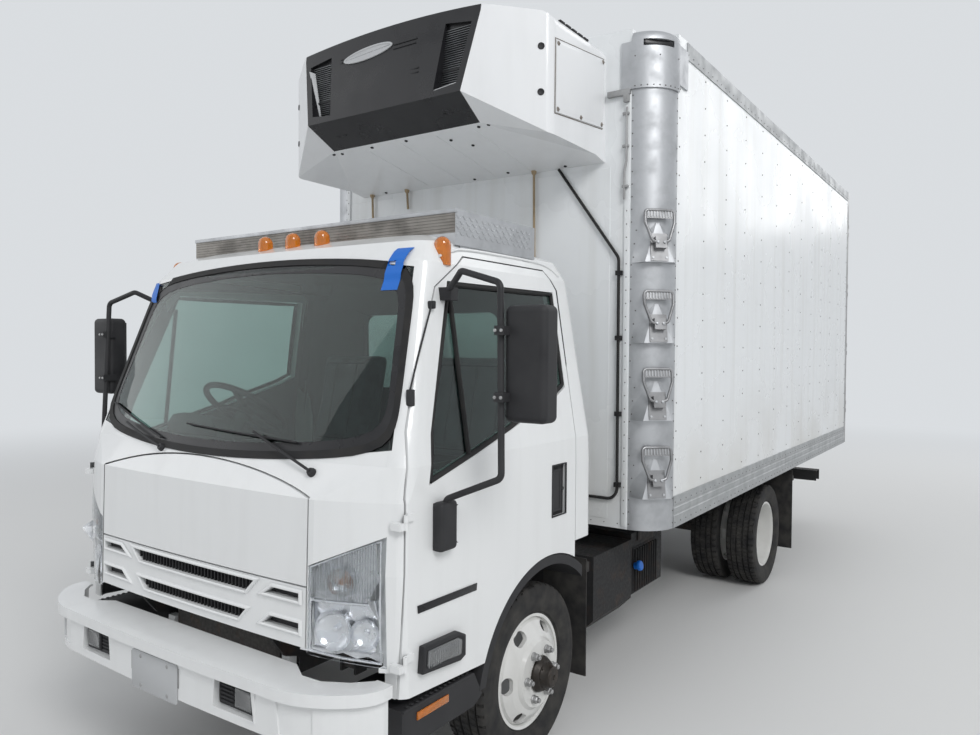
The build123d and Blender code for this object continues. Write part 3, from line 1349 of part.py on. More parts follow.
NODES = {
    "frame_rails": both(frame_rail()),
    "cross_members": cross_members(),
    "front_axle": front_axle(),
    "rear_axle": rear_axle(),
    "leaf_springs": both(together(
        leaf_spring(0, FRONT_SPRING_SEAT, FRONT_EYE_Z),
        leaf_spring(WHEELBASE, REAR_SPRING_SEAT, REAR_EYE_Z),
    )),
    "engine": engine(),
    "propshaft": propshaft(),
    "side_tanks": side_tanks(),
    "bumper": bumper(),
    "mud_flaps": mud_flaps(),
    "rear_step": rear_step(),
    "tail_lamps": tail_lamps(),
    "cargo_floor": cargo_floor(),
    "cargo_sides": both(cargo_side()),
    "cargo_front": cargo_front(),
    "cargo_roof": cargo_roof(),
    "side_rails": side_rails(),
    "corner_columns": both(corner_column()),
    "corner_caps": both(corner_cap()),
    "fold_steps": both(step_loops()),
    "rear_frame": rear_frame(),
    "unit_shell": unit_shell(),
    "unit_face": unit_face(),
    "unit_hose": unit_hose(),
    "evaporator": evaporator(),
    "cargo_door_left": cargo_door(),
    "cargo_door_right": other_side(cargo_door()),
    "lock_rods_left": lock_rods(),
    "lock_rods_right": other_side(lock_rods()),
    "cab_shell": cab_shell(),
    "cab_glass": cab_glass(),
    "cab_floor": cab_floor(),
    "cab_fenders": cab_fenders(),
    "grille": grille(),
    "headlamps": headlamps(),
    "roof_tray": roof_tray(),
    "marker_lamps": marker_lamps(),
    "dash": dash(),
    "seats": seats(),
    "lid": lid(),
    "steering_wheel": steering_wheel(),
    "door_left": LEFT_DOOR,
    "door_right": other_side(LEFT_DOOR),
    "door_glass_left": LEFT_GLASS,
    "door_glass_right": other_side(LEFT_GLASS),
    "mirror_left": LEFT_MIRROR,
    "mirror_right": other_side(LEFT_MIRROR),
    "knuckle_left": knuckle(),
    "knuckle_right": other_side(knuckle()),
    "tyre_front_left": LEFT_FRONT * tyre(),
    "tyre_front_right": other_side(LEFT_FRONT * tyre()),
    "rim_front_left": LEFT_FRONT * front_rim(),
    "rim_front_right": other_side(LEFT_FRONT * front_rim()),
    "tyres_rear_left": REAR_AXIS * TWIN_TYRES,
    "tyres_rear_right": other_side(REAR_AXIS * TWIN_TYRES),
    "rims_rear_left": REAR_AXIS * rear_rims(),
    "rims_rear_right": other_side(REAR_AXIS * rear_rims()),
}

for name, shape in NODES.items():
    placed = [TO_MIDDLE * solid for solid in shape.solids()]
    export_step(placed[0] if len(placed) == 1 else Compound(placed), f"parts/{name}.step")
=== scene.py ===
import math

import bpy
from mathutils import Matrix, Vector


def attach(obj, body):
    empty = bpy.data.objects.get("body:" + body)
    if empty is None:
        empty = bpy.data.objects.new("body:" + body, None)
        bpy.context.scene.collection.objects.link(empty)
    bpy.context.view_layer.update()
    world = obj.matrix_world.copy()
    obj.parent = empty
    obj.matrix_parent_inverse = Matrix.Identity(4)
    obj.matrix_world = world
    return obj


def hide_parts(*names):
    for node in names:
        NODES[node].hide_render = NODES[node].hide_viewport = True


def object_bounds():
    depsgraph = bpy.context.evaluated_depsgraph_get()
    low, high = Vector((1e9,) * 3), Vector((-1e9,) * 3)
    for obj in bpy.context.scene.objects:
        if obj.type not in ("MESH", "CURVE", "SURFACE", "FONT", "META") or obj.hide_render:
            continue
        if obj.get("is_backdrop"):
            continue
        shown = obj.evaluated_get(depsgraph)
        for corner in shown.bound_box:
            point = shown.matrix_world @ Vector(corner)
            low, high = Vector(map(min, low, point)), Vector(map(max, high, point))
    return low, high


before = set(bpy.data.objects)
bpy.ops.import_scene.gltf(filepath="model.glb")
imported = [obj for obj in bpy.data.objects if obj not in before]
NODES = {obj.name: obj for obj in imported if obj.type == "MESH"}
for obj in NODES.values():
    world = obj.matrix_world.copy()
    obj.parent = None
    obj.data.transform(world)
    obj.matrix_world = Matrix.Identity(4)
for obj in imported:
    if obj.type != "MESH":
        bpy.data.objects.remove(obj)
cad_low, cad_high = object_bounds()

# The front axle's place along the truck. Pieces are laid out from it, as the truck's own drawings are.
FRONT_AXLE = 2.3565


def at(x, y, z):
    """A place given from the ground under the front axle, in the shared frame."""
    return Vector((x, y - FRONT_AXLE, z))


# Materials


class Finish:
    """A node tree being built, with the steps that finishes share."""

    def __init__(self, owner):
        owner.use_nodes = True
        self.owner = owner
        self.tree = owner.node_tree
        self.shader = self.tree.nodes.get("Principled BSDF")

    def feed(self, socket, value):
        """Link a socket to another, or set it to a number, a direction or a colour."""
        if isinstance(value, bpy.types.NodeSocket):
            self.tree.links.new(value, socket)
        else:
            socket.default_value = (*value, 1) if socket.type == "RGBA" else value

    def node(self, kind, inputs, **settings):
        made = self.tree.nodes.new("ShaderNode" + kind)
        for name, value in settings.items():
            setattr(made, name, value)
        for name, value in inputs.items():
            self.feed(made.inputs[name], value)
        return made

    def place(self):
        """A place in the piece's own metres."""
        return self.node("TexCoord", {}).outputs["Object"]

    def noise(self, scale, detail=4.0, stretch=(1, 1, 1), roughness=0.5):
        """Noise, stretched along an axis where that is given."""
        mapping = self.node("Mapping", {"Vector": self.place(), "Scale": stretch})
        inputs = {"Vector": mapping.outputs[0], "Scale": scale, "Detail": detail, "Roughness": roughness}
        return self.node("TexNoise", inputs).outputs["Fac"]

    def ramp(self, source, low, high, start=0.35, end=0.65):
        """A change from one value to another as the source rises."""
        node = self.node("ValToRGB", {"Fac": source})
        for element, position, value in zip(node.color_ramp.elements, (start, end), (low, high)):
            element.position = position
            element.color = (value, value, value, 1)
        return node.outputs["Color"]

    def mixed(self, fac, one, two):
        """Two colours mixed by a factor. Each may be a socket or a plain colour."""
        return self.node("Mix", {0: fac, 6: one, 7: two}, data_type="RGBA").outputs[2]

    def math(self, one, two, operation="MULTIPLY"):
        return self.node("Math", {0: one, 1: two}, operation=operation).outputs["Value"]

    def low_down(self, bottom, top):
        """One near the ground, falling to nothing at a height."""
        split = self.node("SeparateXYZ", {"Vector": self.place()})
        inputs = {"Value": split.outputs["Z"], "From Min": bottom, "From Max": top, "To Min": 1, "To Max": 0}
        return self.node("MapRange", inputs).outputs["Result"]

    def shade(self, **inputs):
        """Feed the shader's inputs, named with underscores for spaces."""
        for name, value in inputs.items():
            self.feed(self.shader.inputs[name.replace("_", " ")], value)

    def bumped(self, source, strength, distance):
        """Raise the surface by a source. This ends the making of a material."""
        bump = self.node("Bump", {"Height": source, "Strength": strength, "Distance": distance})
        self.shade(Normal=bump.outputs["Normal"])
        return self.owner


def new_finish(name):
    return Finish(bpy.data.materials.new(name))


def dimmed(colour, share, rise=0.0):
    return [c * share + rise for c in colour]


def paint(name, colour, dirt=0.25, gloss=0.28, coat=0.6):
    """Sprayed paint with faint orange peel, streaks of road dust and dirt that gathers low down."""
    made = new_finish(name)
    blotches = made.noise(3.0, 6)
    streaks = made.noise(14.0, 5, (1, 1, 0.12))
    dusty = [c * 0.62 + 0.06 * t for c, t in zip(colour, (1.0, 0.86, 0.68))]
    base = made.mixed(made.math(made.ramp(streaks, 0, 1, 0.48, 0.78), dirt), colour, dusty)
    foot = made.math(made.low_down(0.45, 1.25), made.ramp(blotches, 0, 0.7))
    base = made.mixed(made.math(foot, dirt * 1.3), base, dusty)
    made.shade(Base_Color=base, Roughness=made.ramp(blotches, gloss, gloss + 0.16))
    made.shade(Coat_Weight=coat, Coat_Roughness=0.09)
    return made.bumped(made.noise(260.0, 2), 0.04, 0.0006)


# The step between the posts behind the box's sides
POST_STEP = 0.397


def box_panel(name):
    """Glossy white glass-fibre sheet with a faint vertical ripple and rain streaks."""
    made = new_finish(name)
    streaks = made.noise(9.0, 6, (1, 1, 0.06))
    patches = made.noise(1.6, 4)
    base = made.mixed(made.ramp(streaks, 0, 0.5, 0.5, 0.82), (0.80, 0.82, 0.83), (0.58, 0.58, 0.55))
    foot = made.math(made.low_down(0.95, 1.7), made.ramp(patches, 0, 0.6))
    base = made.mixed(foot, base, (0.55, 0.53, 0.48))
    made.shade(Base_Color=base, Roughness=made.ramp(patches, 0.2, 0.34))
    inputs = {"Vector": made.place(), "Scale": 2 * math.pi / 20 / POST_STEP}
    inputs |= {"Distortion": 0.8, "Detail": 1.0, "Detail Scale": 0.6}
    posts = made.node("TexWave", inputs, bands_direction="Y")
    ripple = made.mixed(0.45, posts.outputs["Fac"], made.noise(5.0, 2, (1, 1, 0.12)))
    return made.bumped(ripple, 0.6, 0.008)


def worn(name, colour, other, patches, amount, rough, grain, bump, span=(0.35, 0.65), **inputs):
    """A finish that turns to another colour, and rougher, in patches."""
    made = new_finish(name)
    spots = made.noise(*patches)
    base = made.mixed(made.math(made.ramp(spots, 0, 1, *span), amount), colour, other)
    made.shade(Base_Color=base, Roughness=made.ramp(spots, *rough), **inputs)
    return made.bumped(made.noise(*grain), *bump)


def aluminium(name, colour, rough, stretch=(1, 1, 0.05), stain=0.35):
    """Extruded aluminium: fine drawing lines, dull oxide patches and darker stains."""
    return worn(name, colour, dimmed(colour, 0.5), (11.0, 7), stain, (rough, rough + 0.22),
                (220.0, 3, stretch), (0.12, 0.0006), (0.42, 0.8), Metallic=0.85)


def plastic(name, colour, rough=0.5, grain=420.0, depth=0.0003, dust=0.2):
    """Moulded plastic with a fine grain, greyed by dust in patches."""
    return worn(name, colour, dimmed(colour, 0.6, 0.09), (6.0, 6), dust, (rough, min(rough + 0.2, 0.95)),
                (grain, 3), (0.25, depth), Specular_IOR_Level=0.35)


def rubber(name, colour=(0.018, 0.018, 0.019), dust=0.5, rough=0.72):
    """Weathered rubber, greyed with road dust."""
    return worn(name, colour, (0.085, 0.08, 0.072), (13.0, 7), dust, (rough, rough + 0.16),
                (300.0, 4), (0.3, 0.0007), Specular_IOR_Level=0.3)


def rough_metal(name, colour, rust=0.4, rough=0.62, metal=0.3):
    """Painted or cast metal under the truck, with grime and thin rust in patches."""
    made = new_finish(name)
    patches = made.noise(9.0, 8, roughness=0.62)
    fine = made.noise(60.0, 6)
    base = made.mixed(made.ramp(fine, 0, 0.7), colour, dimmed(colour, 0.55, 0.02))
    rusty = made.math(made.ramp(patches, 0, 1, 0.52, 0.72), rust)
    made.shade(Base_Color=made.mixed(rusty, base, (0.13, 0.055, 0.022)), Metallic=metal)
    made.shade(Roughness=made.ramp(fine, rough, min(rough + 0.25, 1.0)))
    return made.bumped(fine, 0.3, 0.0015)


def glass(name, colour=(0.40, 0.52, 0.49), bend=1.4):
    """Clear or tinted glass, a little dusty."""
    made = new_finish(name)
    dust = made.ramp(made.noise(5.0, 6), 0, 0.3)
    made.shade(Base_Color=made.mixed(dust, colour, dimmed(colour, 0.9)))
    made.shade(Transmission_Weight=1.0, IOR=bend, Roughness=0.0)
    return made.owner


def lens(name, colour, rough=0.12, through=0.5):
    """A moulded lens with faint patches, part of whose light goes through."""
    made = new_finish(name)
    grain = made.noise(40.0, 3)
    made.shade(Base_Color=made.mixed(made.ramp(grain, 0, 0.4), colour, dimmed(colour, 0.75)))
    made.shade(Roughness=made.ramp(grain, rough, rough + 0.08), Transmission_Weight=through)
    made.shade(Coat_Weight=0.5)
    return made.owner


def cloth(name, colour):
    """Woven seat cloth, its threads crossing, with sheen and a little wear."""
    made = new_finish(name)
    inputs = {"Vector": made.place(), "Scale": 160.0, "Distortion": 1.5}
    waves = [made.node("TexWave", inputs, bands_direction=axis).outputs["Fac"] for axis in "XZ"]
    weave = made.math(*waves)
    base = made.mixed(weave, dimmed(colour, 0.6), colour)
    base = made.mixed(made.ramp(made.noise(8.0, 6), 0, 0.5), base, dimmed(colour, 1.5, 0.02))
    made.shade(Base_Color=base, Roughness=0.9, Sheen_Weight=0.3)
    return made.bumped(weave, 0.5, 0.0006)


EVEN = (1, 1, 1)
CAB_WHITE = paint("cab_white", (0.80, 0.81, 0.81), 0.12)
WHEEL_WHITE = paint("wheel_white", (0.76, 0.76, 0.74), 0.45, 0.36, 0.3)
UNIT_WHITE = paint("unit_white", (0.80, 0.81, 0.82), 0.1, 0.3, 0.4)
BOX_WHITE = box_panel("box_panel")
BARE_ALUMINIUM = aluminium("bare_aluminium", (0.50, 0.51, 0.525), 0.42)
LONG_ALUMINIUM = aluminium("long_aluminium", (0.46, 0.47, 0.475), 0.45, (1, 0.04, 1), 0.28)
RIB_METAL = aluminium("rib_metal", (0.27, 0.255, 0.235), 0.45, (0.05, 1, 1), 0.6)
ZINC_STEEL = aluminium("zinc_steel", (0.42, 0.42, 0.42), 0.42, EVEN, 0.55)
STEP_STEEL = aluminium("step_steel", (0.31, 0.31, 0.315), 0.34, EVEN, 0.6)
CHROME = aluminium("chrome", (0.82, 0.83, 0.85), 0.1, EVEN, 0.1)
MIRROR_GLASS = aluminium("mirror_glass", (0.80, 0.84, 0.88), 0.02, EVEN, 0.02)
DARK_RIBS = aluminium("dark_ribs", (0.16, 0.165, 0.17), 0.45, EVEN, 0.5)
BLACK_PLASTIC = plastic("black_plastic", (0.018, 0.018, 0.02))
GLOSS_BLACK = plastic("gloss_black", (0.012, 0.012, 0.014), 0.22, 500.0, 0.0001, 0.1)
DASH_PLASTIC = plastic("dash_plastic", (0.045, 0.047, 0.05), 0.55)
BLUE_TAPE = plastic("blue_tape", (0.008, 0.15, 0.60), 0.3, 700.0, 0.0002, 0.12)
PALE_GREY = plastic("pale_grey", (0.50, 0.51, 0.52), 0.42, 400.0, 0.0002, 0.15)
TRIM_GREY = plastic("trim_grey", (0.075, 0.078, 0.08), 0.6, 260.0, 0.0004, 0.1)
PALE_TRIM = plastic("pale_trim", (0.16, 0.16, 0.155), 0.8, 200.0, 0.0004, 0.1)
TYRE = rubber("tyre_rubber")
SEAL = rubber("seal_rubber", (0.012, 0.012, 0.013), 0.2, 0.6)
TAN_HOSE = rubber("tan_hose", (0.42, 0.32, 0.20), 0.3, 0.6)
FRAME_BLACK = rough_metal("frame_black", (0.022, 0.022, 0.023), 0.25)
CAST_METAL = rough_metal("cast_metal", (0.075, 0.07, 0.066), 0.5)
SPRING_STEEL = rough_metal("spring_steel", (0.05, 0.048, 0.046), 0.6)
OILY_HUB = rough_metal("oily_hub", (0.030, 0.024, 0.019), 0.25, 0.3, 0.5)
RUSTY_STEEL = rough_metal("rusty_steel", (0.30, 0.27, 0.24), 0.8, 0.5, 0.4)
RIVET_STEEL = rough_metal("rivet_steel", (0.17, 0.165, 0.16), 0.3, 0.5, 0.6)
TINTED_GLASS = glass("tinted_glass")
LAMP_COVER = glass("lamp_cover", (0.95, 0.96, 0.97), 1.12)
CLEAR_LENS = lens("clear_lens", (0.85, 0.87, 0.88), 0.04, 0.85)
AMBER_LENS = lens("amber_lens", (0.85, 0.27, 0.02))
RED_LENS = lens("red_lens", (0.5, 0.012, 0.01), 0.12, 0.3)
SEAT_CLOTH = cloth("seat_cloth", (0.085, 0.09, 0.1))

# The record's slots, each with the finishes that belong to it. Tape, hoses and pale trim have none.
SLOT_FINISHES = {
    "cab_paint": [CAB_WHITE],
    "wheel_paint": [WHEEL_WHITE],
    "unit_white": [UNIT_WHITE],
    "box_skin": [BOX_WHITE],
    "bare_aluminium": [BARE_ALUMINIUM, LONG_ALUMINIUM, RIB_METAL, DARK_RIBS, CHROME],
    "black_plastic": [BLACK_PLASTIC, GLOSS_BLACK, DASH_PLASTIC, TRIM_GREY],
    "tyre_rubber": [TYRE],
    "flap_rubber": [SEAL],
    "chassis_paint": [FRAME_BLACK],
    "cast_parts": [CAST_METAL, OILY_HUB],
    "spring_steel": [SPRING_STEEL],
    "step_steel": [ZINC_STEEL, STEP_STEEL, RIVET_STEEL, RUSTY_STEEL],
    "tinted_glass": [TINTED_GLASS],
    "clear_lens": [CLEAR_LENS, LAMP_COVER],
    "amber_lens": [AMBER_LENS],
    "red_lens": [RED_LENS],
    "seat_cloth": [SEAT_CLOTH],
}
SLOTS = {finish: slot for slot, finishes in SLOT_FINISHES.items() for finish in finishes}

NODE_FINISHES = {
    FRAME_BLACK: "frame_rails cross_members side_tanks rear_step cab_floor",
    CAST_METAL: "front_axle rear_axle engine knuckle_left knuckle_right",
    SPRING_STEEL: "leaf_springs propshaft",
    CAB_WHITE: "bumper cab_shell grille lid door_left door_right",
    TYRE: "mud_flaps tyre_front_left tyre_front_right tyres_rear_left tyres_rear_right",
    WHEEL_WHITE: "rim_front_left rim_front_right rims_rear_left rims_rear_right",
    BOX_WHITE: "cargo_sides cargo_front cargo_roof cargo_door_left cargo_door_right",
    LONG_ALUMINIUM: "cargo_floor side_rails",
    BARE_ALUMINIUM: "corner_columns corner_caps roof_tray",
    STEP_STEEL: "fold_steps",
    ZINC_STEEL: "rear_frame lock_rods_left lock_rods_right",
    UNIT_WHITE: "unit_shell evaporator",
    GLOSS_BLACK: "unit_face",
    SEAL: "unit_hose",
    TINTED_GLASS: "cab_glass door_glass_left door_glass_right",
    BLACK_PLASTIC: "cab_fenders steering_wheel mirror_left mirror_right",
    DASH_PLASTIC: "dash",
    SEAT_CLOTH: "seats",
    CLEAR_LENS: "headlamps",
    AMBER_LENS: "marker_lamps",
    RED_LENS: "tail_lamps",
}
for finish, names in NODE_FINISHES.items():
    for name in names.split():
        NODES[name].data.materials.clear()
        NODES[name].data.materials.append(finish)


# Modelling tools


def pick(*pieces):
    """Select these objects and nothing else."""
    if bpy.context.object and bpy.context.object.mode != "OBJECT":
        bpy.ops.object.mode_set(mode="OBJECT")
    bpy.ops.object.select_all(action="DESELECT")
    for piece in pieces:
        piece.select_set(True)
        bpy.context.view_layer.objects.active = piece


def choose(piece, test):
    """Open a piece in edit mode with only those faces selected whose centre and normal pass a test."""
    pick(piece)
    for item in (*piece.data.vertices, *piece.data.edges):
        item.select = False
    for face in piece.data.polygons:
        face.select = test(face.center, face.normal)
    bpy.ops.object.mode_set(mode="EDIT")
    bpy.ops.mesh.select_mode(type="FACE")


def edited(piece, **steps):
    """Run mesh operators, each with its settings, on the whole of a piece."""
    pick(piece)
    bpy.ops.object.mode_set(mode="EDIT")
    bpy.ops.mesh.select_all(action="SELECT")
    for operator, settings in steps.items():
        getattr(bpy.ops.mesh, operator)(**settings)
    bpy.ops.object.mode_set(mode="OBJECT")
    return piece


def tidy_mesh(piece):
    """Merge doubled points and turn the faces outwards."""
    return edited(piece, remove_doubles={"threshold": 0.00002}, normals_make_consistent={"inside": False})


def inset(piece, way, *steps, least=0.9):
    """Inset the faces that look along a way, once for each thickness and depth."""
    choose(piece, lambda _, normal: normal.dot(Vector(way)) > least)
    for thickness, depth in steps:
        bpy.ops.mesh.inset(thickness=thickness, depth=depth)
    pick(piece)
    return piece


def modified(piece, kind, **settings):
    """Add a modifier with these settings and apply it."""
    made = piece.modifiers.new(kind.lower(), kind)
    for name, value in settings.items():
        setattr(made, name, value)
    pick(piece)
    bpy.ops.object.modifier_apply(modifier=made.name)
    return piece


def rounded(piece, width=0.002, segments=2, smooth=40):
    """Bevel the sharp edges and shade the rest smooth."""
    if width:
        limit = {"limit_method": "ANGLE", "angle_limit": math.radians(32)}
        modified(piece, "BEVEL", width=width, segments=segments, **limit)
    pick(piece)
    bpy.ops.object.shade_smooth_by_angle(angle=math.radians(smooth))
    return piece


def ring_of(points, filled=True):
    """A closed line of points, as a flat face or as bare edges."""
    pick()
    bpy.ops.mesh.primitive_circle_add(vertices=len(points), fill_type="NGON" if filled else "NOTHING")
    piece = bpy.context.object
    for vertex, point in zip(piece.data.vertices, points):
        vertex.co = point
    return piece


def slab(points, push):
    """A flat outline extruded into a solid."""
    move = {"TRANSFORM_OT_translate": {"value": tuple(push)}}
    return tidy_mesh(edited(ring_of(points), extrude_region_move=move))


def facing(y, points):
    """Places in a plane that lies across the truck, from points in (x, z)."""
    return [at(x, y, z) for x, z in points]


def beside(x, points):
    """Places in a plane that lies along the truck, from points in (y, z)."""
    return [at(x, y, z) for y, z in points]


def block(low, high, width=0.002, segments=2):
    """A box between two corners, its edges rounded."""
    pick()
    low, high = Vector(low), Vector(high)
    bpy.ops.mesh.primitive_cube_add(size=1, location=(low + high) / 2, scale=high - low)
    bpy.ops.object.transform_apply(location=True, rotation=True, scale=True)
    return rounded(bpy.context.object, width, segments)


def block_on(place, low, high, width=0.002, segments=2):
    """A box whose corners are given from a place."""
    return block(place + Vector(low), place + Vector(high), width, segments)


def spun(points, steps, centre, axis):
    """A closed outline turned full circle about an axis."""
    turn = {"steps": steps, "angle": 2 * math.pi, "center": centre, "axis": axis, "use_auto_merge": True}
    return tidy_mesh(edited(ring_of(points, filled=False), spin=turn))


def turned(centre, axis, profile, steps=32):
    """A solid turned about an axis. Its profile gives distances along the axis and out from it."""
    axis = Vector(axis).normalized()
    side = axis.orthogonal().normalized()
    points = [Vector(centre) + axis * along + side * out for along, out in profile]
    return spun(points, steps, centre, axis)


def stud(place, axis, outside, steps=12, smooth=True):
    """A solid turned about an axis, given by its outside only."""
    profile = [(outside[0][0], 0), *outside, (outside[-1][0], 0)]
    piece = turned(place, axis, profile, steps)
    return rounded(piece, 0) if smooth else piece


def tube(points, radius, sides=3, smooth=True):
    """A round bar along a smooth or a straight-run line."""
    curve = bpy.data.curves.new("bar", "CURVE")
    curve.dimensions = "3D"
    curve.bevel_depth = radius
    curve.bevel_resolution = sides
    curve.use_fill_caps = True
    curve.resolution_u = 6
    line = curve.splines.new("NURBS" if smooth else "POLY")
    line.points.add(len(points) - 1)
    for point, place in zip(line.points, points):
        point.co = (*place, 1)
    if smooth:
        line.order_u = 3
        line.use_endpoint_u = True
    piece = bpy.data.objects.new("bar", curve)
    bpy.context.scene.collection.objects.link(piece)
    pick(piece)
    bpy.ops.object.convert(target="MESH")
    return rounded(bpy.context.object, 0)


def looped(points, radius, sides=2):
    """A round bar along straight runs that close."""
    return tube([*points, points[0]], radius, sides, smooth=False)


def copied(piece, shift=(0, 0, 0), turn=None, mirror=False):
    """A copy with its own mesh: turned, mirrored across the truck's middle, or moved."""
    pick(piece)
    bpy.ops.object.duplicate()
    copy = bpy.context.object
    for note in list(copy.keys()):
        del copy[note]
    if turn:
        copy.data.transform(turn)
    copy.data.transform(Matrix.Translation(shift))
    if mirror:
        copy.data.transform(Matrix.Scale(-1, 4, (1, 0, 0)))
        copy.data.flip_normals()
    return copy


def joined(*pieces):
    """One object of these pieces."""
    pick(*pieces)
    if len(pieces) > 1:
        bpy.ops.object.join()
    return bpy.context.object


def both_sides(*pieces):
    """These pieces joined, and their mirror copies on the truck's other side."""
    piece = joined(*pieces)
    return joined(piece, copied(piece, mirror=True))


def row(piece, step, count):
    """A piece repeated in a straight row."""
    return modified(piece, "ARRAY", count=count, use_relative_offset=False, use_constant_offset=True,
                    constant_offset_displace=step)


def turned_copies(piece, centre, axis, count):
    """A piece repeated round an axis."""
    made = [piece]
    for number in range(1, count):
        turn = Matrix.Translation(centre) @ Matrix.Rotation(2 * math.pi * number / count, 4, axis)
        made.append(copied(piece, turn=turn @ Matrix.Translation(-Vector(centre))))
    return joined(*made)


def put(name, piece, material, body="chassis", replaces=()):
    """Name a finished piece, give it its material and fix it to the body that carries it."""
    piece.name = name
    piece.data.name = name
    piece.data.materials.clear()
    piece.data.materials.append(material)
    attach(piece, body)
    if replaces:
        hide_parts(*replaces)
    return piece


def put_pair(name, piece, material, body):
    """The same piece on the left and the right one of two bodies."""
    other = copied(piece, mirror=True)
    put(f"{name}_left", piece, material, f"{body}_left")
    put(f"{name}_right", other, material, f"{body}_right")


def skin(nodes, start, way):
    """The first place on these nodes that a line from a place along a way meets, and the normal there."""
    best = None
    for name in nodes:
        met, place, normal, _ = NODES[name].ray_cast(Vector(start), Vector(way).normalized())
        if met and (best is None or (place - Vector(start)).length < best[2]):
            best = (place, normal, (place - Vector(start)).length)
    return best[:2]


def on_front(nodes, x, z):
    """A place on these nodes, seen from straight ahead."""
    return skin(nodes, at(x, -3, z), (0, 1, 0))


def on_flank(nodes, y, z):
    """A place on the left side, seen from straight beside it."""
    return skin(nodes, at(3, y, z), (-1, 0, 0))


def plated(grid, thickness, outwards):
    """A thin plate over rows of places on a curved skin."""
    rows, columns = len(grid), len(grid[0])
    pick()
    bpy.ops.mesh.primitive_grid_add(x_subdivisions=columns - 1, y_subdivisions=rows - 1, size=1)
    piece = bpy.context.object
    for number, vertex in enumerate(piece.data.vertices):
        vertex.co = grid[number // columns][number % columns]
    edited(piece, normals_make_consistent={"inside": False})
    middle = piece.data.polygons[len(piece.data.polygons) // 2]
    if middle.normal.dot(Vector(outwards)) < 0:
        piece.data.flip_normals()
    modified(piece, "SOLIDIFY", thickness=thickness, offset=1)
    return rounded(piece, 0)


def steps_of(low, high, count):
    """Even steps from one value to another, both included."""
    return [low + (high - low) * i / (count - 1) for i in range(count)]


# Wheels

AXLE_Z = 0.396
WHEELBASE = 3.366
# Where the wheels stand across the truck: the front one, and the rear pair
FRONT_TRACK = 0.825
INNER_TRACK, OUTER_TRACK = 0.691, 0.975
# Half of the tyre's section: out from the middle of its width, and up from the axle
TYRE_HALF = (
    (0.0600, 0.2486), (0.0860, 0.2490), (0.0880, 0.2620), (0.0965, 0.2670), (0.0990, 0.2780),
    (0.1050, 0.2880), (0.1072, 0.3000), (0.1108, 0.3160), (0.1122, 0.3360), (0.1108, 0.3520),
    (0.1118, 0.3560), (0.1075, 0.3720), (0.1020, 0.3840), (0.0960, 0.3905), (0.0900, 0.3925),
    (0.0700, 0.3942), (0.0680, 0.3820), (0.0600, 0.3820), (0.0580, 0.3948), (0.0290, 0.3955),
    (0.0270, 0.3825), (0.0190, 0.3825), (0.0170, 0.3958),
)
TREAD_STEPS = 150
NUTS, NUT_CIRCLE = 6, 0.11112
HUB_BOLTS, HUB_BOLT_CIRCLE = 8, 0.051


def tyre(x, y):
    """A highway tyre with its grooves, slotted shoulders and fine cuts in its ribs."""
    section = [*TYRE_HALF, *((-out, up) for out, up in reversed(TYRE_HALF))]
    hub = at(x, y, AXLE_Z)
    piece = spun([at(x + out, y, AXLE_Z + up) for out, up in section], TREAD_STEPS, hub, (1, 0, 0))

    def cut(bands, least, every, thickness, depth):
        """Sink one block in so many, in bands given by their distances from the tyre's middle."""

        def test(place, _):
            angle = math.atan2(place.z - hub.z, place.y - hub.y)
            step = int((angle + math.pi) / (2 * math.pi) * TREAD_STEPS)
            up = math.hypot(place.y - hub.y, place.z - hub.z)
            in_band = any(low < abs(place.x - hub.x) < high for low, high in bands)
            return in_band and up > least and step % every == 0

        choose(piece, test)
        bpy.ops.mesh.inset(thickness=thickness, depth=depth)

    cut([(0.072, 0.1)], 0.387, 3, 0.0025, -0.008)
    cut([(-1, 0.016), (0.03, 0.057)], 0.39, 2, 0.0052, -0.005)
    pick(piece)
    return rounded(piece, 0, smooth=34)


def wheel_dress(rim, x, y, out, hub_profile):
    """The nuts and the hub of one wheel, set against its disc."""
    hub, axis = at(x, y, AXLE_Z), (out, 0, 0)
    disc, _ = skin([rim], hub + Vector((out * 0.5, 0.111, 0)), (-out, 0, 0))
    face = Vector((disc.x, hub.y, hub.z))
    place = Vector((disc.x, hub.y + NUT_CIRCLE, hub.z))
    nut = [(0, 0.021), (0.004, 0.021), (0.006, 0.0175), (0.022, 0.0175), (0.026, 0.015)]
    nut = rounded(stud(place, axis, nut, 6, smooth=False), 0.0012)
    end = stud(place, axis, [(0.02, 0.0105), (0.036, 0.0105), (0.038, 0.0085)])
    nuts = turned_copies(joined(nut, end), face, (1, 0, 0), NUTS)
    cap = rounded(stud(face, axis, hub_profile, 40, smooth=False), 0, smooth=30)
    bolt = [(0.03, 0.008), (0.041, 0.008), (0.042, 0.006)]
    bolt = rounded(stud(face + Vector((0, 0, HUB_BOLT_CIRCLE)), axis, bolt, 6, smooth=False), 0.0006)
    return nuts, joined(cap, turned_copies(bolt, face, (1, 0, 0), HUB_BOLTS))


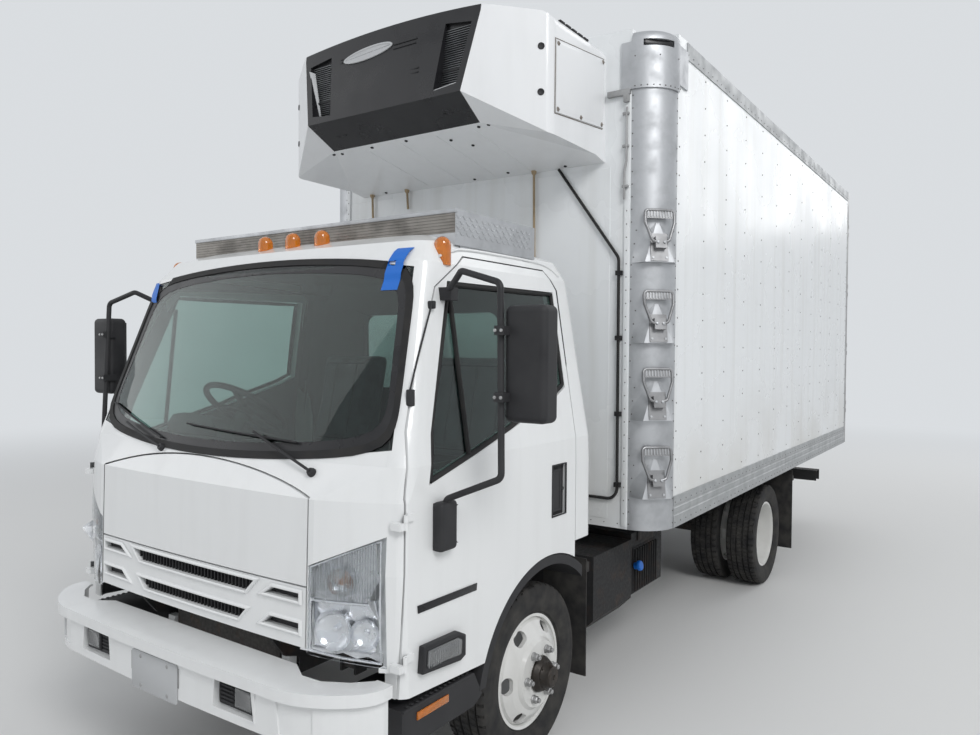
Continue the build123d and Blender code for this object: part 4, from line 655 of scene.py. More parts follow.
FRONT_HUB = [
    (-0.02, 0.079), (0.012, 0.079), (0.02, 0.074), (0.034, 0.066), (0.036, 0.058), (0.05, 0.05),
    (0.068, 0.046), (0.074, 0.04), (0.075, 0.012), (0.071, 0.01),
]
REAR_HUB = [
    (-0.02, 0.079), (0.018, 0.078), (0.03, 0.07), (0.036, 0.063), (0.05, 0.061), (0.056, 0.054),
    (0.06, 0.03), (0.064, 0.018),
]
front_tyre = tyre(FRONT_TRACK, 0)
rear_tyres = joined(tyre(INNER_TRACK, WHEELBASE), tyre(OUTER_TRACK, WHEELBASE))
for out, side in ((1, "left"), (-1, "right")):
    for end, node, tyres, rim, x, y, hub_profile in (
        ("front", "tyre", front_tyre, "rim", FRONT_TRACK, 0, FRONT_HUB),
        ("rear", "tyres", rear_tyres, "rims", OUTER_TRACK, WHEELBASE, REAR_HUB),
    ):
        body = f"wheel_{end}_{side}"
        tread = tyres if out > 0 else copied(tyres, mirror=True)
        put(f"tyre_tread_{end}_{side}", tread, TYRE, body, [f"{node}_{end}_{side}"])
        nuts, cap = wheel_dress(f"{rim}_{end}_{side}", out * x, y, out, hub_profile)
        put(f"wheel_nuts_{end}_{side}", nuts, ZINC_STEEL, body)
        put(f"hub_cap_{end}_{side}", cap, OILY_HUB, body)


# Cab front

NOSE = ["cab_shell", "cab_glass", "lid", "grille", "headlamps"]


def windshield_ring(inset):
    """The windshield's outline in (x, z), drawn in, with rounded corners."""
    low_z, mid_z, top_z, crown_z = 1.508 + inset, 1.442 + inset, 2.178 - inset, 2.232 - inset
    low_x, top_x = 0.932 - inset, 0.840 - inset
    level, rise = steps_of(-1, 1, 25), steps_of(0, 1, 17)[1:-1]
    points = [(low_x * t, mid_z + (low_z - mid_z) * t * t) for t in level]
    points += [(low_x + (top_x - low_x) * t, low_z + (top_z - low_z) * t) for t in rise]
    points += [(-top_x * t, crown_z + (top_z - crown_z) * t * t) for t in level]
    points += [(-top_x + (top_x - low_x) * t, top_z + (low_z - top_z) * t) for t in rise]
    for _ in range(6):
        around = zip([points[-1], *points], points, [*points[1:], points[0]])
        points = [tuple((a[k] + 2 * b[k] + c[k]) / 4 for k in (0, 1)) for a, b, c in around]
    return points


def band(name, outer, inner, nodes, lift, thickness, material):
    """A flat band between two outlines in (x, z), laid on the cab's front."""
    outside, inside = (
        [place + normal * lift for place, normal in (on_front(nodes, x, z) for x, z in outline)]
        for outline in (outer, inner)
    )
    piece = edited(ring_of(outside, filled=False), extrude_edges_move={})
    for vertex, place in zip(piece.data.vertices[len(outer):], inside):
        vertex.co = place
    tidy_mesh(piece)
    if piece.data.polygons[0].normal.y > 0:
        piece.data.flip_normals()
    modified(piece, "SOLIDIFY", thickness=thickness, offset=1)
    put(name, rounded(piece, 0), material, "cab")


band("windshield_seal", windshield_ring(-0.012), windshield_ring(0.014), NOSE, 0.0005, 0.005, SEAL)
band("windshield_border", windshield_ring(0.012), windshield_ring(0.046), ["cab_glass"], 0.0003, 0.0008,
     GLOSS_BLACK)


def wiper(name, pivot, elbow, low, high):
    """A wiper: its pivot cap, arm and long blade. Places are given in (x, z) on the cab's front."""

    def run(nodes, start, end, steps):
        return [on_front(nodes, *Vector(start).lerp(Vector(end), t)) for t in steps]

    root, out = on_front(NOSE, *pivot)
    cap = stud(root - out * 0.004, out, [(0, 0.0175), (0.012, 0.017), (0.022, 0.013), (0.024, 0)], 20)
    arm = zip(run(NOSE, pivot, elbow, (0, 0.3, 0.65, 1)), (0.018, 0.026, 0.034, 0.027))
    arm = tube([place + normal * lift for (place, normal), lift in arm], 0.0055)
    edge = run(["cab_glass"], low, high, steps_of(0, 1, 9))
    blade = [
        tube([place + normal * lift for place, normal in edge], radius)
        for lift, radius in ((0.014, 0.0042), (0.0055, 0.003))
    ]
    put(name, joined(cap, arm, *blade), BLACK_PLASTIC, "cab")


wiper("wiper_right", (-0.276, 1.436), (-0.62, 1.512), (-0.30, 1.472), (-0.86, 1.592))
wiper("wiper_left", (0.630, 1.412), (0.30, 1.530), (0.52, 1.508), (-0.139, 1.540))

# Headlamps: a clear cover, a bright bowl behind it, ribs, bulbs and a bright rim


def on_lamp_front(place):
    side = 1 if place.x > 0 else -1
    start = Vector((place.x + side * 0.001, -6, place.z + 0.001))
    met, spot, _, _ = NODES["headlamps"].ray_cast(start, Vector((0, 1, 0)))
    return met and (spot - place).length < 0.03


def faces_of(node, keep, thickness, offset, sink=0):
    """A thin shell over those faces of a node that pass a test, sunk by a depth."""
    piece = tidy_mesh(copied(NODES[node]))
    choose(piece, lambda place, normal: not keep(place, normal))
    bpy.ops.mesh.delete(type="FACE")
    pick(piece)
    if sink:
        for vertex in piece.data.vertices:
            vertex.co += vertex.normal * -sink
    return rounded(modified(piece, "SOLIDIFY", thickness=thickness, offset=offset), 0)


def lamp_skin(sink):
    """The lamp's own front surface, sunk by a depth."""

    def keep(place, normal):
        return normal.y < -0.3 and abs(normal.z) < 0.6 and on_lamp_front(place)

    return faces_of("headlamps", keep, 0.003, -1, sink)


def lamp_line(points, sink, radius, sides=3):
    """A bar behind the lamp's cover, over points in (x, z)."""
    spots = [on_front(["headlamps"], x, z) for x, z in points]
    return tube([place - normal * sink for place, normal in spots], radius, sides)


cover = put("headlamp_covers", lamp_skin(0), LAMP_COVER, "cab")
put("headlamp_bowls", lamp_skin(0.045), CHROME, "cab")
RIB_FOOT = 0.985
ribs = []
for number in range(27):
    x = 0.690 + number * 0.0089
    rib_top = 1.095 + (x - 0.678) / 0.277 * 0.121 - 0.012
    ribs.append(lamp_line([(x, z) for z in steps_of(RIB_FOOT, rib_top, 3)], 0.0055, 0.0036, 1))
put("turn_lamp_ribs", both_sides(*ribs), CLEAR_LENS, "cab")
divider = lamp_line([(x, 0.975) for x in (0.684, 0.74, 0.80, 0.85, 0.89, 0.925)], 0.012, 0.006)
BEZEL = (
    (0.684, 0.795), (0.81, 0.782), (0.935, 0.770), (0.935, 0.98), (0.935, 1.198), (0.81, 1.145),
    (0.684, 1.09),
)
edge = [on_front(["headlamps"], x, z) for x, z in BEZEL]
edge = looped([place - normal * 0.010 for place, normal in edge], 0.0055)
put("headlamp_bezels", both_sides(divider, edge), CHROME, "cab")
TURN_LAMP = (0.80, 1.045)
reflectors = []
for x, z, size in ((0.775, 0.875, 0.072), (0.885, 0.868, 0.055), (*TURN_LAMP, 0.05)):
    place, normal = on_front(["headlamps"], x, z)
    back = place - normal * 0.043
    bowl = [
        (0, 0.012), (0.004, size * 0.55), (0.016, size * 0.85), (0.03, size), (0.032, size),
        (0.018, size * 0.88), (0.006, size * 0.6), (0.003, 0.012),
    ]
    reflectors.append(rounded(turned(back, normal, bowl, 36), 0))
    reflectors.append(stud(back, normal, [(0, 0.011), (0.012, 0.011), (0.02, 0.008), (0.024, 0)], 16))
put("headlamp_reflectors", both_sides(*reflectors), CHROME, "cab")
place, normal = on_front(["headlamps"], *TURN_LAMP)
bulb = stud(place - normal * 0.04, normal, [(0, 0.013), (0.016, 0.013), (0.024, 0.009), (0.026, 0)], 20)
put("turn_lamp_bulbs", both_sides(bulb), AMBER_LENS, "cab")

# Grille: dark upright bars and a dark back in each opening. The openings take the name of the finishes'
# table.

SLOTS = (
    ((-0.3515, 0.9505), (0.3515, 0.9505), (0.4005, 0.9975), (-0.4005, 0.9975)),
    ((-0.3115, 0.8385), (0.3115, 0.8385), (0.3545, 0.8815), (-0.3545, 0.8815)),
)
SIDE_SLOTS = (
    ((0.4565, 0.9625), (0.6395, 0.9625), (0.6395, 0.9915), (0.5005, 0.9915)),
    ((0.4465, 0.8505), (0.6395, 0.8505), (0.6395, 0.8845), (0.4905, 0.8845)),
)
BAR_STEP = 0.0215
bars = []
for (left, low), (right, _), (_, high), _ in SLOTS:
    count = int((right - left + 0.05) / BAR_STEP)
    for number in range(count):
        x = (number - (count - 1) / 2) * BAR_STEP
        foot = low + max(0.0, (abs(x) - right) / 0.049) * (high - low)
        bars.append(block(at(x - 0.003, -1.124, foot), at(x + 0.003, -1.106, high), 0.0012, 1))
bars += [slab(facing(-1.104, outline), (0, 0.006, 0)) for outline in SLOTS]
for outline in SIDE_SLOTS:
    for side in (1, -1):
        bars.append(slab(facing(-1.099, [(side * x, z) for x, z in outline]), (0, 0.012, 0)))
put("grille_insert", joined(*bars), BLACK_PLASTIC, "cab")
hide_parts("headlamps")


# Doors and flanks

FLANK = ["cab_shell", "door_left", "door_glass_left"]
DOOR_GLASS = ["door_glass_left"]
DOOR_FACE = 1.0102


def flank_run(points, lift, nodes=FLANK):
    """Places on the left side over points in (y, z)."""
    return [place + normal * lift for place, normal in (on_flank(nodes, y, z) for y, z in points)]


def on_both_doors(name, piece, material):
    put_pair(name, piece, material, "door")


# The rubber that frames each door window, and the post between its panes
WINDOW = (
    (-0.850, 1.378), (-0.820, 1.560), (-0.612, 2.130), (0.205, 2.138), (0.205, 1.690), (0.120, 1.652),
    (-0.297, 1.530),
)
SEAL_INSET = 0.012
seal = []
for start, end in zip(WINDOW, (*WINDOW[1:], WINDOW[0])):
    steps = max(2, int(math.dist(start, end) / 0.12))
    for i in range(steps):
        y, z = (a + (b - a) * (i / steps) for a, b in zip(start, end))
        y += SEAL_INSET if y < -0.25 else -SEAL_INSET
        z += SEAL_INSET if z < 1.75 else -SEAL_INSET
        seal.append((y, z))
on_both_doors("window_seal", looped(flank_run(seal, 0.003, DOOR_GLASS), 0.011), SEAL)
post = flank_run([(-0.60, 1.46 + t * 0.60) for t in (0, 0.25, 0.5, 0.75, 1)], 0.003, DOOR_GLASS)
on_both_doors("quarter_post", tube(post, 0.011, 2), SEAL)

# Door handle: a black cup in the recess with a pull across it and a lock
cup = block(at(0.9905, 0.0245, 1.1075), at(0.9935, 0.1535, 1.3425), 0.001)
edge = looped(beside(1.0105, ((0.026, 1.109), (0.152, 1.109), (0.152, 1.341), (0.026, 1.341))), 0.0042)
pull = inset(block(at(0.997, 0.034, 1.128), at(1.009, 0.112, 1.322), 0.005, 3), (1, 0, 0), (0.009, -0.004))
lock = stud(at(0.994, 0.132, 1.225), (1, 0, 0), [(0, 0.011), (0.009, 0.0105), (0.011, 0.009)], 20)
on_both_doors("door_handle", joined(cup, edge, rounded(pull, 0), lock), BLACK_PLASTIC)

# Side lamp: a black housing that stands out at its rear, with a clear ribbed window
HOUSING = (
    (-0.914, 0.722), (-0.905, 0.818), (-0.700, 0.812), (-0.658, 0.790), (-0.658, 0.712), (-0.690, 0.700),
)
LAMP_WINDOW = (
    (-0.884, 0.742), (-0.880, 0.796), (-0.708, 0.792), (-0.680, 0.776), (-0.680, 0.726), (-0.696, 0.722),
)
housing = inset(slab(beside(DOOR_FACE, HOUSING), (0.026, 0, 0)), (1, 0, 0), (0.012, 0.003), (0.008, -0.008))
on_both_doors("side_lamp_housing", rounded(housing, 0.004, 3), BLACK_PLASTIC)
window = rounded(slab(beside(1.029, LAMP_WINDOW), (0.006, 0, 0)), 0.002)
flutes = [
    tube(beside(1.035, ((y, 0.732), (y, 0.788))), 0.003, 1, smooth=False)
    for y in [-0.876 + 0.0125 * i for i in range(15)]
]
on_both_doors("side_lamp_window", joined(window, *flutes), CLEAR_LENS)

# Bare dark bar under the belt
BELT_BAR = ((-0.912, 0.934), (-0.915, 0.962), (-0.556, 0.956), (-0.560, 0.928))
bar = rounded(slab(beside(DOOR_FACE, BELT_BAR), (0.004, 0, 0)), 0.0015)
on_both_doors("name_bar", bar, GLOSS_BLACK)

# Amber reflector and tread on the entry step
reflector = block(at(1.0042, -0.908, 0.552), at(1.0098, -0.728, 0.580), 0.0015)
put("step_reflectors", both_sides(reflector), AMBER_LENS, "cab")
grips = [
    block(at(0.985, y, 0.611), at(0.999, y + 0.012, 0.614), 0.001, 1)
    for y in [-0.955 + number * 0.027 for number in range(14)]
]
lip = tube(beside(1.001, ((-0.98, 0.604), (-0.77, 0.602), (-0.57, 0.598))), 0.006, 2)
put("step_edges", both_sides(lip, *grips), BLACK_PLASTIC, "cab")

# Antenna on the left pillar, and the drip rail over each door
base, out = on_flank(FLANK, -0.885, 1.69)
tip, out_tip = on_flank(FLANK, -0.735, 2.03)
mast = tube([base + out * 0.016, base.lerp(tip, 0.5) + out * 0.018, tip + out_tip * 0.02], 0.0035, 2)
foot = block_on(base, (-0.004, -0.012, -0.03), (0.022, 0.012, 0.03), 0.005, 3)
end = block_on(tip, (-0.004, -0.009, -0.015), (0.026, 0.009, 0.015), 0.005, 3)
put("antenna", joined(mast, foot, end), BLACK_PLASTIC, "cab")
GUTTER = (
    (-0.64, 2.222), (-0.52, 2.262), (-0.44, 2.272), (-0.2, 2.276), (0.1, 2.276), (0.24, 2.262), (0.29, 2.22),
)
put("drip_rails", both_sides(tube(flank_run(GUTTER, 0.004, ["cab_shell"]), 0.006, 2)), CAB_WHITE, "cab")

# Mirrors: a rimmed glass in the back of each head, and the screws of its clamps
edge = facing(-0.659, ((1.280, 1.637), (1.412, 1.637), (1.412, 1.993), (1.280, 1.993)))
on_both_doors("mirror_rim", looped(edge, 0.005), BLACK_PLASTIC)
plate = block(at(1.283, -0.6605, 1.64), at(1.409, -0.6575, 1.99), 0.0012)
on_both_doors("mirror_glass", plate, MIRROR_GLASS)
screws = [
    stud(at(1.268 + dx, -0.800, z), (0, -1, 0), [(-0.002, 0.006), (0.004, 0.006), (0.005, 0.005)])
    for z in (1.70, 1.93) for dx in (-0.013, 0.013)
]
on_both_doors("mirror_screws", joined(*screws), ZINC_STEEL)

# Blue paper tape over the windshield's upper corners, lying over its seal


def tape(foot, head, width, seal_low, seal_high):
    """A strip down the cab's front between two places in (x, z), lifted where it crosses the seal."""
    grid = []
    for s in range(19):
        x, z = Vector(head).lerp(Vector(foot), s / 18)
        over = min(1.0, max(0.0, 1 - max(seal_low - z, z - seal_high) / 0.02))
        spots = [on_front(["cab_shell", "cab_glass"], x + width * (t / 4 - 0.5), z) for t in range(5)]
        grid.append([place + normal * (0.0014 + 0.0078 * over) for place, normal in spots])
    return plated(grid, 0.0005, (0, -1, 0))


tapes = (
    tape((0.748, 2.088), (0.762, 2.256), 0.078, 2.150, 2.238),
    tape((-0.818, 2.085), (-0.838, 2.182), 0.05, 2.10, 2.182),
)
put("tape_strips", joined(*tapes), BLUE_TAPE, "cab")

# Roof deflector: ribs across its front with a bright lip, and raised lozenges on its sides
ribs = [
    block(at(-0.856, -0.5138, z), at(0.856, -0.5085, z + 0.0055), 0.001, 1)
    for z in [2.341 + number * 0.0125 for number in range(6)]
]
back = block(at(-0.859, -0.5108, 2.334), at(0.859, -0.5095, 2.418), 0.0003, 1)
put("deflector_ribs", joined(back, *ribs), RIB_METAL, "cab")
lip = block(at(-0.864, -0.516, 2.414), at(0.864, -0.500, 2.4315), 0.003)
put("deflector_lip", lip, BARE_ALUMINIUM, "cab")
TREAD_PITCH = 0.022
lozenge = block((-0.0016, -0.0105, -0.0022), (0.0016, 0.0105, 0.0022), 0.0008, 1)
pair = []
for number, tilt in enumerate((45, -45)):
    turn = Matrix.Rotation(math.radians(tilt), 4, "X")
    pair.append(copied(lozenge, at(0.8602, -0.495 + number * TREAD_PITCH, 2.334), turn=turn))
    pair.append(copied(lozenge, at(0.8602, -0.473 - number * TREAD_PITCH, 2.356), turn=turn))
bpy.data.objects.remove(lozenge)
plate = row(row(joined(*pair), (0, 2 * TREAD_PITCH, 0), 13), (0, 0, 2 * TREAD_PITCH), 2)
put("deflector_tread", both_sides(plate), BARE_ALUMINIUM, "cab")

# A rounded shell over each low mirror head
foot = [vertex.co for vertex in NODES["mirror_left"].data.vertices if vertex.co.z < 1.3105]
head_low, head_high = (Vector(end(place[axis] for place in foot) for axis in range(3)) for end in (min, max))
grow = Vector((0.0045, 0.0045, 0.0045))
shell = block(head_low - grow, head_high + grow, 0.016, 4)
inset(shell, (0, 1, 0), (0.010, 0), (0.002, -0.003), least=0.95)
on_both_doors("low_mirror", shell, BLACK_PLASTIC)


# Cooling unit

UNIT = ["unit_shell"]
UNIT_FLANK = 0.8853
SIDE_PANEL = ((0.237, 3.001), (0.730, 3.043), (0.742, 3.405), (0.238, 3.347))
panel = slab(beside(UNIT_FLANK, SIDE_PANEL), (0.006, 0, 0))
inset(panel, (1, 0, 0), (0.012, 0), (0.004, 0.002))
put("unit_side_panels", both_sides(rounded(panel, 0.0015)), UNIT_WHITE)
edge = beside(UNIT_FLANK + 0.001, ((0.232, 2.996), (0.735, 3.038), (0.747, 3.410), (0.233, 3.352)))
fasteners = [looped(edge, 0.0022, 1)]
for y, z in ((0.252, 3.018), (0.716, 3.058), (0.727, 3.388), (0.253, 3.331), (0.485, 3.037)):
    head = [(0, 0.012), (0.004, 0.011), (0.007, 0.006)]
    fasteners.append(stud(at(0.890, y, z), (1, 0, 0), head, 16, smooth=False))
    fasteners.append(block(at(0.896, y - 0.009, z - 0.0018), at(0.8985, y + 0.009, z + 0.0018), 0.0005, 1))
put("unit_panel_fasteners", both_sides(*fasteners), RUSTY_STEEL)

CAP_RIM = [(-0.001, 0.016), (0.0025, 0.0165), (0.0035, 0.015), (0.001, 0.012), (0.0005, 0)]
caps = [stud(*on_flank(UNIT, 0.176, z), CAP_RIM, 24) for z in (3.304, 3.088)]
put("unit_port_caps", both_sides(*caps), BLACK_PLASTIC)

louvres = []
for number in range(5):
    place, _ = skin(UNIT, at(0.86, 0.330 + number * 0.062, 4.0), (0, 0, -1))
    louvres.append(block_on(place, (-0.05, -0.024, -0.004), (0.012, 0.024, 0.006), 0.003, 2))
put("unit_top_louvre", both_sides(*louvres), BLACK_PLASTIC)


def face_patch(points, thickness):
    """A thin raised plate on the unit's black front, over points in (x, z)."""
    spots = [on_front(["unit_face"], x, z) for x, z in points]
    normal = spots[0][1]
    return slab([place + normal * 0.0004 for place, _ in spots], normal * thickness)


oval = []
for number in range(32):
    angle = number / 32 * 2 * math.pi
    oval.append((-0.118 + 0.172 * math.cos(angle), 3.418 + 0.034 * math.sin(angle) + 0.012 * math.cos(angle)))
badge = inset(face_patch(oval, 0.006), (0, -1, 0), (0.008, 0), (0.003, -0.003), least=0.8)
put("unit_bare_oval", rounded(badge, 0.0012), PALE_GREY)
# Slots in the black face: their two ends in x, their height and how far they rise
FACE_SLOTS = (
    (-0.445, -0.300, 3.398, 0.004), (0.060, 0.215, 3.398, 0.0), (-0.395, 0.250, 3.262, 0.0),
    (-0.430, -0.300, 3.420, 0.0), (0.062, 0.220, 3.420, 0.0), (-0.395, 0.250, 3.240, 0.0),
)
slats = [
    face_patch([(x0, z), (x1, z + rise), (x1 - 0.006, z + rise + 0.010), (x0 + 0.006, z + 0.010)], 0.004)
    for x0, x1, z, rise in FACE_SLOTS
]
for x in (-0.345, -0.395, 0.345, 0.395):
    place, _ = on_front(["unit_face"], x, 3.035)
    slats.append(block_on(place, (-0.016, -0.004, -0.006), (0.016, 0.001, 0.006), 0.002, 2))
put("unit_face_slots", rounded(joined(*slats), 0.001, 1), BLACK_PLASTIC)

# Fins of the condenser behind the two side vents, the sill under the right one and the flap in the left one
fins = []
for side in (-1, 1):
    for number in range(26):
        t = number / 25
        z, x0, x1 = 3.150 + t * 0.270, 0.358 + t * 0.034, 0.500 + t * 0.052
        place, _ = on_front(["unit_face", "unit_shell"], side * (x0 + x1) / 2, z)
        fins.append(block((side * x0, place.y - 0.009, z), (side * x1, place.y - 0.0005, z + 0.0035), 0))
put("unit_condenser_fins", joined(*fins), DARK_RIBS)
SILL = ((0.352, -0.030, 3.124), (0.498, -0.030, 3.138), (0.498, 0.028, 3.138), (0.352, 0.028, 3.124))
FLAP = ((-0.555, -0.004, 3.405), (-0.500, 0.020, 3.150), (-0.492, 0.026, 3.152), (-0.540, 0.026, 3.400))
sill = slab([at(*spot) for spot in SILL], (0, 0, 0.005))
flap = slab([at(*spot) for spot in FLAP], (0.004, 0, 0))
put("unit_vent_sill", rounded(joined(sill, flap), 0.001), PALE_GREY)
bars = []
for side in (-1, 1):
    for z in (3.22, 3.32):
        y = 0.012 + (z - 3.092) / 0.383 * 0.055
        t = (z - 3.137) / 0.29
        low = at(side * (0.360 + 0.034 * t), y - 0.012, z)
        bars.append(block(low, at(side * (0.497 + 0.052 * t), y, z + 0.012), 0.002))
put("unit_vent_bars", joined(*bars), BLACK_PLASTIC)

# Screws and drains on the underside, and its folded seams


def under_unit(x, y):
    return skin(UNIT, at(x, y, 2.0), (0, 0, 1))


UNDER_SCREWS = (
    (-0.539, 0.17), (-0.487, 0.185), (-0.25, 0.18), (-0.001, 0.18), (0.244, 0.257), (0.321, 0.348),
    (0.478, 0.18), (0.545, 0.17), (0.30, 0.72), (0.66, 0.745), (-0.66, 0.745), (0.05, 0.74),
)
SCREW = [(-0.001, 0.009), (0.004, 0.009), (0.006, 0.006)]
seams = []
for x in (-0.30, -0.05, 0.20, 0.44):
    spots = [under_unit(x, 0.19 + 0.54 * t) for t in (0, 0.33, 0.66, 1)]
    seams.append(tube([place + normal * 0.0005 for place, normal in spots], 0.003, 1))
put("unit_under_seams", joined(*seams), UNIT_WHITE)
screws = [stud(*under_unit(x, y), SCREW) for x, y in UNDER_SCREWS]
put("unit_under_screws", joined(*screws), BLACK_PLASTIC)
drains = []
for x, y, length in ((0.454, 0.752, 0.50), (-0.488, 0.751, 0.12), (-0.788, 0.752, 0.22)):
    place, _ = under_unit(x, y)
    hang = ((0, 0, 0.002), (0, 0.004, -length * 0.5), (0.004, 0.006, -length))
    drains.append(tube([place + Vector(spot) for spot in hang], 0.007, 2))
    drains.append(stud(place, (0, 0, -1), [(-0.002, 0.016), (0.012, 0.014), (0.02, 0.009)], 16))
put("unit_drains", joined(*drains), TAN_HOSE)

# Cargo box

DOME = ((-0.0008, 0.0042), (0.0012, 0.0036), (0.0024, 0.0018), (0.0026, 0))
BOX_SIDE = 1.219
RAIL_SIDE = 1.2243


def rivet(place, normal, size=1.0):
    return stud(place, normal, [(up * size, out * size) for up, out in DOME], 8)


def rivet_line(start, end, normal, count, size=1.0):
    start, end = Vector(start), Vector(end)
    return row(rivet(start, normal, size), (end - start) / (count - 1), count)


rivets = []
for number in range(13):
    post = beside(BOX_SIDE, [(0.985 + number * POST_STEP, z) for z in (1.13, 3.41)])
    rivets.append(rivet_line(*post, (1, 0, 0), 16, 1.25))
for y, z in ((0.975, 1.052), (0.975, 0.942), (1.09, 3.47)):
    rivets.append(rivet_line(*beside(RAIL_SIDE, ((y, z), (5.760, z))), (1, 0, 0), 60))
put("side_rivets", both_sides(*rivets), RIVET_STEEL)
beads = [
    block(at(1.2235, 0.958, z), at(1.2255, 5.777, z + 0.004), 0) for z in (0.930, 0.965, 1.015, 1.038, 1.068)
]
put("rail_beads", both_sides(*beads), LONG_ALUMINIUM)

# The corner column's axis, and the ledges of its four step covers
CORNER = at(1.037, 0.957, 0)
STEP_LEDGES = (1.090, 1.500, 1.905, 2.325)
DIAGONAL = 0.7071


def round_corner(angle):
    turn = math.radians(angle)
    return Vector((math.cos(turn), math.sin(turn), 0))


rivets = []
for angle in (-88, -2):
    normal = round_corner(angle)
    for low, high in ((0.945, 1.075), (1.31, 1.49), (1.725, 1.895), (2.125, 2.315), (2.54, 3.2)):
        start = CORNER + normal * 0.182
        count = max(2, int((high - low) / 0.062) + 1)
        rivets.append(rivet_line(start + Vector((0, 0, low)), start + Vector((0, 0, high)), normal, count))
for number in range(9):
    normal = round_corner(-84 + number * 9.75)
    for z in (3.245, 3.40) if number in (0, 4, 8) else (3.245,):
        rivets.append(rivet(CORNER + normal * 0.192 + Vector((0, 0, z)), normal))
for z in STEP_LEDGES:
    for side in (-1, 1):
        for u, v, up in ((0.150, 0.116, 0.03), (0.146, 0.112, 0.10), (0.142, 0.104, 0.17)):
            spread = Vector((u * DIAGONAL + side * v * DIAGONAL, -u * DIAGONAL + side * v * DIAGONAL, z + up))
            start = CORNER + spread + Vector((0.2, -0.2, 0))
            met, spot, normal, _ = NODES["corner_columns"].ray_cast(start, Vector((-1, 1, 0)).normalized())
            if met:
                rivets.append(rivet(spot, normal))
put("corner_rivets", both_sides(*rivets), RIVET_STEEL)
lamp = slab(
    [
        CORNER + Vector((DIAGONAL * 0.166 + DIAGONAL * v, -DIAGONAL * 0.166 + DIAGONAL * v, z))
        for v, z in ((-0.078, 3.452), (0.078, 3.452), (0.078, 3.478), (-0.078, 3.478))
    ],
    (0.006, -0.006, 0),
)
put("cap_lamps", both_sides(rounded(lamp, 0.003)), GLOSS_BLACK)

# Front wall: a raised sheet, its trim, and the conduit beside the column with its bracket
WALL_FACE, TRIM_FACE = 0.7752, 0.766
put("front_wall_sheet", block(at(-1.0, 0.7725, 0.96), at(0.92, WALL_FACE, 2.84), 0.001, 1), BOX_WHITE)
trim = [block(at(x, TRIM_FACE, 0.93), at(x + 0.030, WALL_FACE, 3.21), 0.002) for x in (1.004, -1.034)]
put("front_wall_trim", joined(*trim), BOX_WHITE)
conduit = facing(0.757, ((1.018, 3.14), (1.018, 2.86), (1.006, 2.80), (1.006, 2.66)))
conduit = [
    tube(conduit, 0.006, 2, smooth=False),
    block(at(0.905, 0.752, 3.205), at(1.034, WALL_FACE, 3.235), 0.002),
    block(at(1.000, 0.748, 3.165), at(1.030, TRIM_FACE, 3.205), 0.002),
    *(block(at(0.994, 0.752, z), at(1.030, 0.7655, z + 0.014), 0.002) for z in (3.10, 2.93, 2.72)),
]
put("wall_conduit", joined(*conduit), ZINC_STEEL)
# Each line of rivets: how far forward, where it starts and ends in (x, z), and its count
FRONT_RIVETS = (
    (TRIM_FACE, (1.019, 1.0), (1.019, 2.6), 24), (TRIM_FACE, (-1.019, 1.0), (-1.019, 3.2), 32),
    (0.775, (-0.98, 0.94), (0.98, 0.94), 26),
)
rivets = [rivet_line(*facing(y, ends), (0, -1, 0), count, 0.9) for y, *ends, count in FRONT_RIVETS]
put("front_rivets", joined(*rivets), RIVET_STEEL)

# Step treads: raised teeth and bolts inside each stirrup
LEAN = math.atan2(0.031, 0.206)
LEVER_BOLT = [(-0.001, 0.008), (0.005, 0.008), (0.006, 0.006)]
FOOT_BOLT = [(-0.001, 0.007), (0.004, 0.006)]
teeth = []
for z in STEP_LEDGES:
    stand = Matrix.Translation(CORNER + Vector((0, 0, z))) @ Matrix.Rotation(math.radians(-45), 4, "Z")
    stand = stand @ Matrix.Translation((0.215, 0, 0)) @ Matrix.Rotation(-LEAN, 4, "Y")
    set_on = []
    for v in [number * 0.0158 for number in range(9)]:
        set_on.append(block((0.0305, -0.066 + v, 0.229), (0.0345, -0.0605 + v, 0.262), 0.0012, 1))
    for x, v, up, head, sides in ((0.036, 0.018, 0.096, LEVER_BOLT, 6), (0.006, 0.037, 0.022, FOOT_BOLT, 10)):
        set_on += [stud((x, side * v, up), (1, 0, 0), head, sides, smooth=False) for side in (-1, 1)]
    for piece in set_on:
        piece.data.transform(stand)
    teeth += set_on
put("step_treads", both_sides(rounded(joined(*teeth), 0)), BARE_ALUMINIUM)


# Bumper: blank plate, its bolts and the insets in both pockets


def rounded_outline(x0, z0, x1, z1, radius, steps=5):
    """A rectangle with rounded corners, as points in (x, z)."""
    right, left, low, high = x1 - radius, x0 + radius, z0 + radius, z1 - radius
    points = []
    for cx, cz, start in ((right, low, -90), (right, high, 0), (left, high, 90), (left, low, 180)):
        for i in range(steps + 1):
            angle = math.radians(start + 90 * i / steps)
            points.append((cx + radius * math.cos(angle), cz + radius * math.sin(angle)))
    return points


plate = slab(facing(-1.2765, rounded_outline(-0.168, 0.509, 0.137, 0.661, 0.012)), (0, -0.0022, 0))
inset(plate, (0, -1, 0), (0.004, 0), (0.0015, 0.0012))
put("blank_plate", rounded(plate, 0), PALE_GREY)
bolts = [
    stud(at(x, -1.2775, z), (0, -1, 0), [(0, 0.009), (0.003, 0.008), (0.004, 0.005)])
    for x in (-0.105, 0.074) for z in (0.528, 0.642)
]
bracket = block(at(-0.175, -1.2768, 0.575), at(0.144, -1.2752, 0.650), 0.001)
put("plate_bolts", rounded(joined(bracket, *bolts), 0), ZINC_STEEL)
pocket = slab(facing(-1.2415, rounded_outline(0.352, 0.570, 0.561, 0.666, 0.008)), (0, -0.006, 0))
pockets = [inset(pocket, (0, -1, 0), (0.006, -0.003))]
for z in [number * 0.0145 for number in range(6)]:
    pockets.append(block(at(0.362, -1.252, 0.580 + z), at(0.440, -1.244, 0.5865 + z), 0.002))
